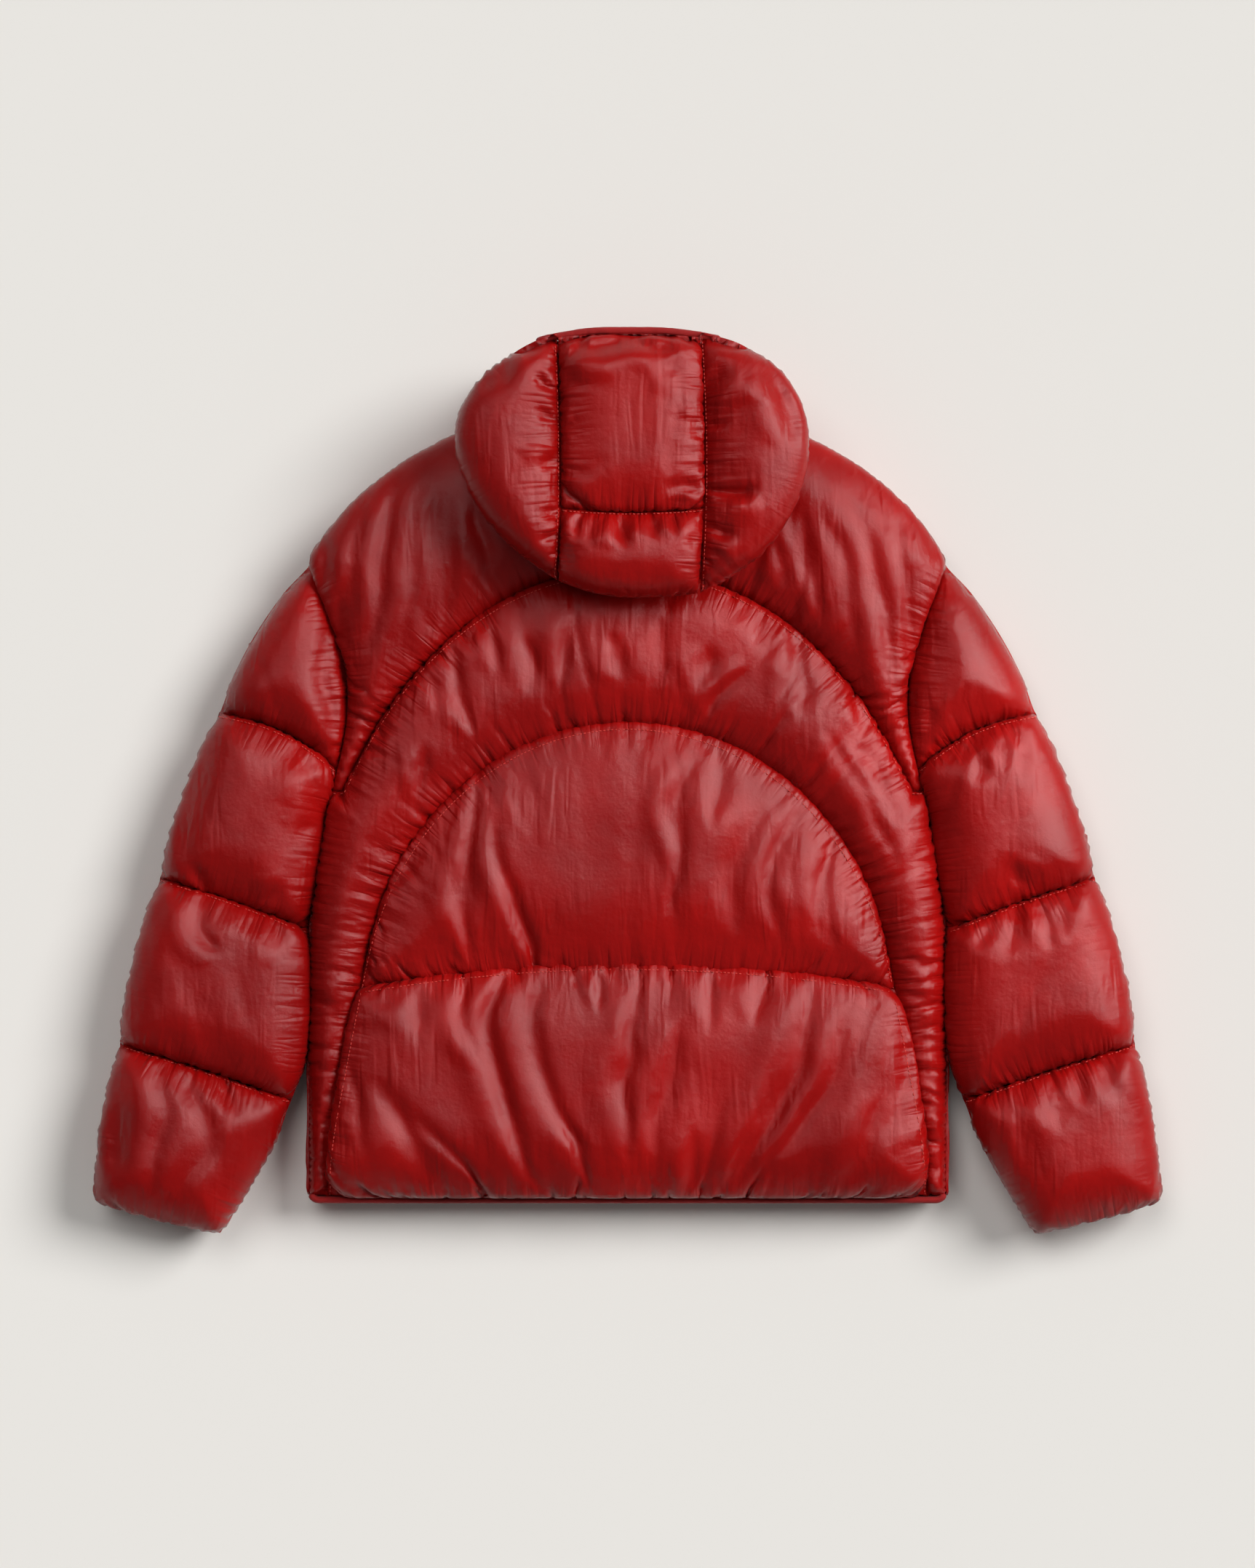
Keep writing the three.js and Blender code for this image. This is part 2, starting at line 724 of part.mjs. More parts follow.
// ---------------------------------------------------------------- hood
const hoodRimY = collarTopY + hoodRise;
const hoodWidestY = hoodRimY - hoodWidest;
const hoodCrownY = hoodRimY - hoodLength;
const hoodZ = backTopZ + hoodLift;
const hoodTopZ = hoodZ + hoodLoft;
const hoodSide = [
  ...new THREE.CubicBezierCurve(
    P(0, hoodCrownY),
    P(hoodHalf * 0.56, hoodCrownY),
    P(hoodHalf, hoodWidestY - hoodLength * 0.24),
    P(hoodHalf, hoodWidestY),
  ).getPoints(9),
  ...new THREE.CubicBezierCurve(
    P(hoodHalf, hoodWidestY),
    P(hoodHalf * 0.98, hoodWidestY + hoodWidest * 0.66),
    P(hoodHalf * 0.57, hoodRimY),
    P(0, hoodRimY),
  ).getPoints(9).slice(1),
];
const hoodOutline = tidy([...hoodSide, ...mirror(hoodSide).slice(1, -1)]);
const mouthY = hoodRimY - hoodBinding;
const bag = puff(hoodOutline, hoodZ, hoodTopZ, true, 18, 12);
const hoodHollowZ0 = hoodZ + hoodFloor;
const hoodHollowZ1 = hoodHollowZ0 + hoodHollow;
function hoodRoom(shrink) {
  return plate(inset(hoodOutline, hoodWall + shrink), hoodHollowZ0 + shrink, hoodHollowZ1 - shrink).add(
    block(
      -hoodMouthHalf + shrink,
      hoodMouthHalf - shrink,
      hoodRimY - hoodWall - 30,
      hoodRimY + 30,
      hoodHollowZ0 + shrink,
      hoodHollowZ1 - shrink,
    ),
  );
}
const hollowBag = bag.subtract(hoodRoom(0));
const g2 = seamGap / 2;
const midZ = (hoodHollowZ0 + hoodHollowZ1) / 2;
const crossY = hoodCrownY + hoodSeam;
const wide = 1000;
addPair(
  'hood_side_panel',
  hollowBag.intersect(block(hoodPanelHalf + g2, wide, -wide, mouthY - g2, 0, wide)),
  shellRed,
);
const centre = hollowBag.intersect(block(-hoodPanelHalf + g2, hoodPanelHalf - g2, -wide, wide, 0, wide));
const crownWallY = hoodCrownY + hoodWall;
add(
  'hood_crown_panel',
  centre
    .intersect(block(-wide, wide, -wide, crossY - g2, 0, wide))
    .subtract(block(-wide, wide, crownWallY - g2, wide, 0, midZ)),
  shellLight,
);
add(
  'hood_top_panel',
  centre.intersect(block(-wide, wide, crossY + g2, mouthY - g2, midZ, wide)),
  shellRed,
);
add(
  'hood_under_panel',
  centre.intersect(block(-wide, wide, crownWallY + g2, mouthY - g2, 0, midZ)),
  shellDeep,
);
add(
  'hood_binding',
  hollowBag
    .intersect(block(-wide, wide, mouthY + g2, wide, midZ, hoodTopZ - 22))
    .intersect(block(-hoodMouthHalf, hoodMouthHalf, 0, wide, 0, wide)),
  bindingRed,
);
add(
  'hood_lining',
  hoodRoom(skinGap)
    .subtract(hoodRoom(skinGap + liningThickness))
    .intersect(block(-wide, wide, -wide, mouthY - 2, 0, wide)),
  liningRed,
);

export default jacket;
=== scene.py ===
import json
import math
import bmesh
import bpy
import numpy as np
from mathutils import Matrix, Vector
from mathutils.geometry import delaunay_2d_cdt

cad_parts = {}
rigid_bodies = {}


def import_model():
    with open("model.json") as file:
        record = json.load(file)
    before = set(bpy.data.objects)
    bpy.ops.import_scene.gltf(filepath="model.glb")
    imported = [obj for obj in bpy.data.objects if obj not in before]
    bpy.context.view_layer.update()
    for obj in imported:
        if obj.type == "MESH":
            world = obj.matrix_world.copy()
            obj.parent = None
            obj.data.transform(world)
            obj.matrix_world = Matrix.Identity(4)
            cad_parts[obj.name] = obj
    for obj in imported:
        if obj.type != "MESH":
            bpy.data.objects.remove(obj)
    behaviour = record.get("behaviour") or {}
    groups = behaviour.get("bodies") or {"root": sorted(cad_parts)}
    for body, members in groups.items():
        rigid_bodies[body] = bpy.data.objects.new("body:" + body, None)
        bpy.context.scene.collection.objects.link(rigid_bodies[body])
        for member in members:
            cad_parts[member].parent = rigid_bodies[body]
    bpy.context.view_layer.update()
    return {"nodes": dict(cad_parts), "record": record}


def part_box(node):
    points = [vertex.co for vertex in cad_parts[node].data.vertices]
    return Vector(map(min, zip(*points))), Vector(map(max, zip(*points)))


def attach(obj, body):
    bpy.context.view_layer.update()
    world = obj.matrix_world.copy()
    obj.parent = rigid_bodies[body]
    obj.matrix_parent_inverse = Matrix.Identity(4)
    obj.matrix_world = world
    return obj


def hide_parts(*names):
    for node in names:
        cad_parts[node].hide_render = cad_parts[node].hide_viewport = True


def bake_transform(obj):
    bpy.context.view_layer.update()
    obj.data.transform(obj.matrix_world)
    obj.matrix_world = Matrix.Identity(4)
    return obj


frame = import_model()
RNG = np.random.default_rng(7)
STEP = 3.7  # spacing of the fabric's points, mm

# ------------------------------------------------------------------ outlines from the CAD nodes, in mm


def unit(v):
    """Rows scaled to length 1."""
    return v / np.maximum(np.linalg.norm(v, axis=1, keepdims=True), 1e-9)


def run_length(p):
    """How far along a line each of its points is."""
    return np.r_[0, np.cumsum(np.linalg.norm(np.diff(p, axis=0), axis=1))]


def box_mm(node):
    return [np.array(v) * 1000 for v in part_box(node)]


def cad_arrays(node):
    """Merged vertices (mm) and triangles of a CAD node."""
    mesh = frame["nodes"][node].data
    co = np.array([v.co for v in mesh.vertices], float) * 1000
    key, index = np.unique(np.round(co, 2), axis=0, return_inverse=True)
    mesh.calc_loop_triangles()
    tris = index.reshape(-1)[np.array([t.vertices[:] for t in mesh.loop_triangles])]
    return key, tris


def outline(node, level, tol=0.15):
    """The longest run of edges of a node that lie at one height, as a closed loop in plan."""
    co, tris = cad_arrays(node)
    a, b, c = co[tris[:, 0]], co[tris[:, 1]], co[tris[:, 2]]
    flat = np.abs(unit(np.cross(b - a, c - a))[:, 2]) > 0.999
    near = np.abs(co[:, 2] - level) < tol
    links = {}
    for t, is_flat in zip(tris, flat):
        if is_flat:
            continue
        for i in range(3):
            p, q = int(t[i]), int(t[(i + 1) % 3])
            if near[p] and near[q]:
                links.setdefault(p, set()).add(q)
                links.setdefault(q, set()).add(p)
    best, seen = [], set()
    for s in sorted(links, key=lambda v: len(links[v])):
        if s in seen:
            continue
        run, cur = [s], s
        seen.add(s)
        while True:
            nxt = [v for v in sorted(links[cur]) if v not in seen]
            if not nxt:
                break
            cur = nxt[0]
            seen.add(cur)
            run.append(cur)
        if len(run) > len(best):
            best = run
    loop = co[best][:, :2]
    return loop if area(loop) > 0 else loop[::-1]


def area(p):
    """Positive for a counter-clockwise loop."""
    x, y = p[:, 0], p[:, 1]
    return 0.5 * np.sum(x * np.roll(y, -1) - y * np.roll(x, -1))


def offset(loop, d):
    """Moves a counter-clockwise loop outwards by d."""
    a, b = unit(loop - np.roll(loop, 1, 0)), unit(np.roll(loop, -1, 0) - loop)
    na, nb = np.c_[a[:, 1], -a[:, 0]], np.c_[b[:, 1], -b[:, 0]]
    m = unit(na + nb)
    return loop + m * (d / np.maximum(0.4, np.sum(m * na, 1)))[:, None]


def resample(loop, h, corner_deg=28):
    """Even points round a loop, smoothed between its corners."""
    a = loop - np.roll(loop, 1, 0)
    b = np.roll(loop, -1, 0) - loop
    cross = a[:, 0] * b[:, 1] - a[:, 1] * b[:, 0]
    turn = np.degrees(np.abs(np.arctan2(cross, np.sum(a * b, 1))))
    corners = list(np.where(turn > corner_deg)[0]) or [0]
    n = len(loop)
    out = []
    for k, c in enumerate(corners):
        e = corners[(k + 1) % len(corners)]
        idx = [(c + i) % n for i in range(((e - c) % n or n) + 1)]
        seg = loop[idx]
        s = run_length(seg)
        m = max(1, int(round(s[-1] / h)))
        t = np.linspace(0, s[-1], m + 1)
        q = np.c_[np.interp(t, s, seg[:, 0]), np.interp(t, s, seg[:, 1])]
        for _ in range(int(60 * (5 / h) ** 2) if m > 4 else 0):
            q[1:-1] += 0.5 * ((q[:-2] + q[2:]) / 2 - q[1:-1])
        out.append(q[:-1])
    return np.concatenate(out)


def inside(points, loop):
    """Which points lie inside a loop."""
    x, y = points[:, 0][:, None], points[:, 1][:, None]
    x0, y0 = loop[:, 0][None], loop[:, 1][None]
    x1, y1 = np.roll(loop[:, 0], -1)[None], np.roll(loop[:, 1], -1)[None]
    cond = (y0 > y) != (y1 > y)
    xc = (x1 - x0) * (y - y0) / np.where(y1 == y0, 1e-9, y1 - y0) + x0
    return (np.sum(cond & (x < xc), axis=1) % 2) == 1


def distance(points, targets):
    """Distance from each point to the nearest target, and its index."""
    best = np.full(len(points), 1e9)
    which = np.zeros(len(points), int)
    for i in range(0, len(points), 2000):
        d = np.linalg.norm(points[i : i + 2000, None] - targets[None], axis=2)
        which[i : i + 2000] = d.argmin(1)
        best[i : i + 2000] = d.min(1)
    return best, which


def triangulate(loop, h):
    """Points and triangles that fill a loop evenly."""
    lo, hi = loop.min(0), loop.max(0)
    row = h * 0.866  # between rows of even triangles
    rows = int((hi[1] - lo[1]) / row) + 1
    cols = int((hi[0] - lo[0]) / h) + 2
    gx, gy = np.meshgrid(np.arange(cols), np.arange(rows))
    pts = np.c_[(lo[0] + (gx + 0.5 * (gy % 2)) * h).ravel(), (lo[1] + gy * row).ravel()]
    pts += RNG.uniform(-0.12, 0.12, pts.shape) * h
    pts = pts[inside(pts, loop)]
    pts = pts[distance(pts, loop)[0] > 0.62 * h]
    allp = np.concatenate([loop, pts])
    n = len(loop)
    edges = [(i, (i + 1) % n) for i in range(n)]
    v, _, f, *_ = delaunay_2d_cdt([Vector(p) for p in allp], edges, [], 1, 1e-4)
    return np.array([p[:] for p in v], float), np.array([t[:] for t in f], int)


def value_noise(x, y, seed):
    """Smooth noise between -1 and 1, one cell to the unit."""
    table = np.random.default_rng(seed).uniform(-1, 1, (256, 256))
    x, y = np.broadcast_arrays(np.asarray(x, float), np.asarray(y, float))
    xi, yi = np.floor(x).astype(int), np.floor(y).astype(int)
    fx, fy = x - xi, y - yi
    fx, fy = fx * fx * (3 - 2 * fx), fy * fy * (3 - 2 * fy)

    def at(a, b):
        return table[(xi + a) % 256, (yi + b) % 256]

    low, high = (at(0, b) * (1 - fx) + at(1, b) * fx for b in (0, 1))
    return low * (1 - fy) + high * fy


# ------------------------------------------------------------------ chambers


HEM_CORNER = 9.0  # radius of the hem's corners
BACK_Z = box_mm("back_yoke")[0][2]
HEM_LINE = box_mm("hem_binding")[1][1] - 0.4
ARMPIT_Y = box_mm("right_side_seam")[1][1]
SLEEVE_MID = box_mm("left_sleeve_upper")[1][2] / 2
HOOD_LO, HOOD_HI = (v[2] for v in box_mm("left_hood_side_panel"))
HOOD_MID = (HOOD_LO + HOOD_HI) / 2 - 4  # height of the hood's free edge


def round_hem_corners(loop):
    """The two corners at the hem are rounded."""
    cx = box_mm("hem_binding")[1][0] - HEM_CORNER
    cy = box_mm("hem_binding")[1][1] + HEM_CORNER - 3
    loop = loop.copy()
    for sign in (-1, 1):
        v = (loop - [sign * cx, cy]) * [sign, -1]
        out = (v[:, 0] > 0) & (v[:, 1] > 0) & (np.linalg.norm(v, axis=1) > HEM_CORNER)
        loop[out] = [sign * cx, cy] + unit(v[out]) * HEM_CORNER * [sign, -1]
    return loop


class Chamber:
    """One quilted chamber. group is the body part it is sewn into, loft how far its crown stands over its rim
    and reach how far in that is, gather how much its rim is gathered, flow the way its folds run, and extra how
    much loose cloth lies across that."""

    def __init__(self, name, node, loop, group, loft, reach, gather, flow, extra=0.0):
        self.name, self.node, self.group = name, node, group
        self.loft, self.reach, self.gather, self.flow = loft, reach, gather, flow
        self.extra = extra
        if group == "back":
            loop = round_hem_corners(loop)
        self.loop = resample(loop, STEP)
        self.p2, self.tris = triangulate(self.loop, STEP)
        edge = np.sort(np.concatenate([self.tris[:, k] for k in ([0, 1], [1, 2], [2, 0])]), 1)
        self.edges, count = np.unique(edge, axis=0, return_counts=True)
        self.rim_edges = self.edges[count == 1]
        self.rim = np.unique(self.rim_edges)


def smooth01(t):
    t = np.clip(t, 0, 1)
    return t * t * (3 - 2 * t)


def rounded(t):
    """A free edge's profile, which turns under like a roll."""
    return np.sqrt(np.maximum(0, 1 - (1 - np.clip(t, 0, 1)) ** 2))


def dome(t):
    """How full a chamber is, from its seam at 0 to its crown at 1."""
    return 0.34 * rounded(t) + 0.66 * np.sin(np.clip(t, 0, 1) * math.pi / 2)


def flow_fixed(angle_deg):
    """Folds run at this angle from +Y: gives each point's place across and along them, and the way across."""
    a = math.radians(angle_deg)
    across, along = np.array([math.cos(a), math.sin(a)]), np.array([-math.sin(a), math.cos(a)])
    return lambda p: (p @ across, p @ along, np.tile(across, (len(p), 1)))


def flow_to(x, y, scale):
    """Folds converge on a point: scale is the distance from it at which they are as wide as elsewhere."""

    def f(p):
        d = np.array([x, y]) - p
        dist = np.maximum(np.linalg.norm(d, axis=1), 1e-6)
        angle = np.arctan2(d[:, 0], -d[:, 1] if y < 0 else d[:, 1])
        return angle * scale, dist, np.c_[-d[:, 1], d[:, 0]] / dist[:, None]

    return f


chambers = []


def chamber(*a, **k):
    chambers.append(Chamber(*a, **k))


def cad_plan(node, level):
    """A node's outline at a height, half a seam's gap larger."""
    return offset(outline(node, level), 0.5)


for name, node, loft, reach, gather, flow, extra in (
    ("yoke_chamber", "back_yoke", 26, 62, 0.10, flow_to(0, -900, 1050), 0.05),
    ("arch_band_chamber", "back_arch_band", 24, 52, 0.11, flow_to(0, -230, 330), 0.05),
    ("dome_chamber", "back_dome_panel", 26, 90, 0.10, flow_fixed(10), 0.03),
    ("lower_chamber", "back_lower_panel", 26, 78, 0.13, flow_to(0, -640, 330), 0.06),
):
    chamber(name, node, cad_plan(node, BACK_Z), "back", loft, reach, gather, flow, extra)

SLEEVE_LEVEL = 12.0  # height at which a sleeve's solids have their full outline
for side, s in (("left", -1), ("right", 1)):
    for part, gather, extra in (("cap", 0.08, 0.02), ("upper", 0.12, 0.03), ("lower", 0.12, 0.03), ("end", 0.14, 0.05)):
        node = f"{side}_sleeve_{part}"
        plan = cad_plan(node, SLEEVE_LEVEL)
        chamber(f"{node}_chamber", node, plan, f"{side}_sleeve", 30, 56, gather, flow_fixed(-14 * s), extra)

# the hood's outline as it lies, slightly fuller on its right
HOOD_X = box_mm("right_hood_side_panel")[1][0]
HOOD_Y0 = box_mm("hood_crown_panel")[0][1]
HOOD_Y1 = box_mm("hood_binding")[1][1]


def hood_side(shares):
    """A smooth line through the outline's points, given as percent of the hood's width and length."""
    p = np.array([v.split(",") for v in shares.split()], float) / 100 * [HOOD_X, HOOD_Y1 - HOOD_Y0] + [0, HOOD_Y0]
    for _ in range(4):
        q = np.empty((2 * len(p), 2))
        q[0::2] = p * 0.75 + np.roll(p, -1, 0) * 0.25
        q[1::2] = p * 0.25 + np.roll(p, -1, 0) * 0.75
        p = np.concatenate([p[:1], q[:-2], p[-1:]])
    return p


RIGHT_EDGE = hood_side(
    "0,0 22,0 45,2.5 68,11 81,20 93,34 100,49 102,58 98.5,68 87,85 70,93 55,96.5 38,98.5 20,100 0,100"
)
LEFT_EDGE = hood_side(
    "0,0 -20,0 -36,6 -53,12 -71,22 -87,37 -93,50 -98.5,60 -96,68 -86,79 -69,89 -50,96.5 -37,98 -20,100 0,100"
)
RIM_DEPTH = 6.0  # of the binding along the hood's front edge


def seam_right(y):
    """Where the hood's right long seam runs, and below where its left one does."""
    return 66 + 5 * np.sin(np.clip((y - HOOD_Y0) / 245, 0, 1) * math.pi)


def seam_left(y):
    return -64 + 3 * np.sin(np.clip((y - HOOD_Y0) / 245, 0, 1) * math.pi)


def hood_half(edge, seam):
    """A side chamber's outline: out along its edge, and back along its seam."""
    e = edge[np.abs(edge[:, 0]) > np.abs(seam(edge[:, 1])) + 0.6]
    e[:, 1] = np.minimum(e[:, 1], HOOD_Y1 - RIM_DEPTH)
    y = np.linspace(e[0, 1], e[-1, 1], 70)[::-1]
    loop = np.concatenate([e, np.c_[seam(y), y][1:-1]])
    return loop if area(loop) > 0 else loop[::-1]


def seam_pair(y):
    """The two long seams at these places: up the right one, and down the left one."""
    return np.c_[seam_right(y), y], np.c_[seam_left(y), y][::-1]


def hood_centre(y0, y1):
    """The top chamber's outline, between the two long seams."""
    right, left = seam_pair(np.linspace(y0, y1, 50))
    share = np.linspace(0, 1, 40)
    bow = np.sin(share * math.pi) * 4
    top = np.c_[right[-1, 0] + (left[0, 0] - right[-1, 0]) * share, y1 + bow][1:-1]
    bottom = np.c_[left[-1, 0] + (right[0, 0] - left[-1, 0]) * share, y0 - bow][1:-1]
    return np.concatenate([right, top, left, bottom]), bottom


HOOD_CROSS = box_mm("hood_top_panel")[0][1] - 8  # where the cross seam meets the two long ones
left_low, right_low = (e[e[:, 1] < HOOD_Y0 + 60] for e in (LEFT_EDGE, RIGHT_EDGE))
crown_low = np.concatenate([
    left_low[left_low[:, 0] > seam_left(left_low[:, 1]) + 0.6][::-1],
    right_low[right_low[:, 0] < seam_right(right_low[:, 1]) - 0.6][1:],
])
top_loop, cross = hood_centre(HOOD_CROSS, HOOD_Y1 - RIM_DEPTH - 4)
right, left = seam_pair(np.linspace(max(crown_low[0, 1], crown_low[-1, 1]) + 1, HOOD_CROSS, 30))
crown_loop = np.concatenate([right, cross[::-1], left, crown_low])
for name, node, loop, loft, reach, gather, lean in (
    ("hood_top_chamber", "hood_top_panel", top_loop, 17, 50, 0.12, 0),
    ("hood_crown_chamber", "hood_crown_panel", crown_loop, 17, 40, 0.12, 0),
    ("right_hood_chamber", "right_hood_side_panel", hood_half(RIGHT_EDGE, seam_right), 19, 50, 0.13, -12),
    ("left_hood_chamber", "left_hood_side_panel", hood_half(LEFT_EDGE, seam_left), 19, 50, 0.13, 12),
):
    chamber(name, node, loop, "hood", loft, reach, gather, flow_fixed(lean), 0.03)


def cuff_line(side):
    """The cuff's two corners, the outer one first, the way from one to the other, and its middle height."""
    lo, hi = box_mm(f"{side}_cuff_binding")
    x_out, x_in = (hi[0], lo[0]) if side == "right" else (lo[0], hi[0])
    outer, inner = np.array([x_out, hi[1]]), np.array([x_in, lo[1]])
    return outer, inner, (inner - outer) / np.linalg.norm(inner - outer), (lo[2] + hi[2]) / 2


def off_cuff(side, points):
    """How far points are from the cuff's line."""
    outer, _, d, _ = cuff_line(side)
    rel = points - outer
    return np.abs(rel[:, 0] * d[1] - rel[:, 1] * d[0])


def at_cuff(c, points, reach=8.5):
    """Which points of a sleeve's end lie along its cuff."""
    if not c.node.endswith("sleeve_end"):
        return np.zeros(len(points), bool)
    return off_cuff(c.group.split("_")[0], points) < reach


def seam_points(c):
    """Which of a chamber's rim points are sewn to a neighbour."""
    rim = c.p2[c.rim]
    own = np.concatenate([o.p2[o.rim] for o in chambers if o.group == c.group and o is not c])
    sewn = distance(rim, own)[0] < 3.5
    if c.group != "hood":
        across = np.concatenate([o.p2[o.rim] for o in chambers if o.group not in (c.group, "hood")])
        sewn |= (distance(rim, across)[0] < 5.5) & (rim[:, 1] > ARMPIT_Y - 42)
    return sewn


def folds(c, number):
    """How far the fabric dips: puckers square to the seams, and longer creases along the chamber's flow."""
    s = run_length(c.loop)[distance(c.p2[c.rim], c.loop)[1]][c.near]
    rim_point = c.p2[c.rim][c.near]
    d = c.rim_d
    seam = c.seam[c.near]
    seed = 100 * (number + 1)
    below = smooth01(0.5 + (rim_point[:, 1] - c.p2[:, 1]) / np.maximum(d, 1))
    hem = (c.group == "back") & (rim_point[:, 1] < HEM_LINE + 5)
    strength = np.where(seam, 0.55 + 0.45 * below, np.where(hem, 1.0, 0.14))
    bend = 3.0 * value_noise(s / 23, d / 14, seed + 5)
    fine = value_noise((s + bend) / 7.5, d / 90, seed)
    wide = value_noise((s + bend) / 15, d / 110, seed + 1)
    reach_fine = 7 + 9 * (0.5 + 0.5 * value_noise(s / 17, 0, seed + 2))
    reach_wide = 16 + 30 * (0.5 + 0.5 * value_noise(s / 31, 0, seed + 3)) ** 2
    start = 1 - np.exp(-d / 2.5)
    reach_fine = np.where(hem, 2.0, 1.0) * reach_fine
    dip = np.where(hem, 3.0, 2.1) * np.exp(-((fine / 0.34) ** 2)) * np.exp(-((d / reach_fine) ** 1.6))
    dip += 4.0 * np.exp(-((wide / 0.30) ** 2)) * np.exp(-((d / reach_wide) ** 1.5))
    dip *= start * strength * (c.gather / 0.11)
    u, v, _ = c.flow(c.p2)
    warp = 9 * value_noise(u / 60, v / 75, seed + 6)
    long = value_noise((u + warp) / 24, v / 150, seed + 7)
    patch = smooth01(0.35 + 0.9 * value_noise(u / 70, v / 110, seed + 8))
    dip += 3.4 * np.exp(-((long / 0.26) ** 2)) * patch * (1 - np.exp(-d / 10)) * (c.extra / 0.05)
    broad = value_noise(u / 55, v / 120, seed + 9)
    dip += 1.6 * broad * (1 - np.exp(-d / 22))
    return dip


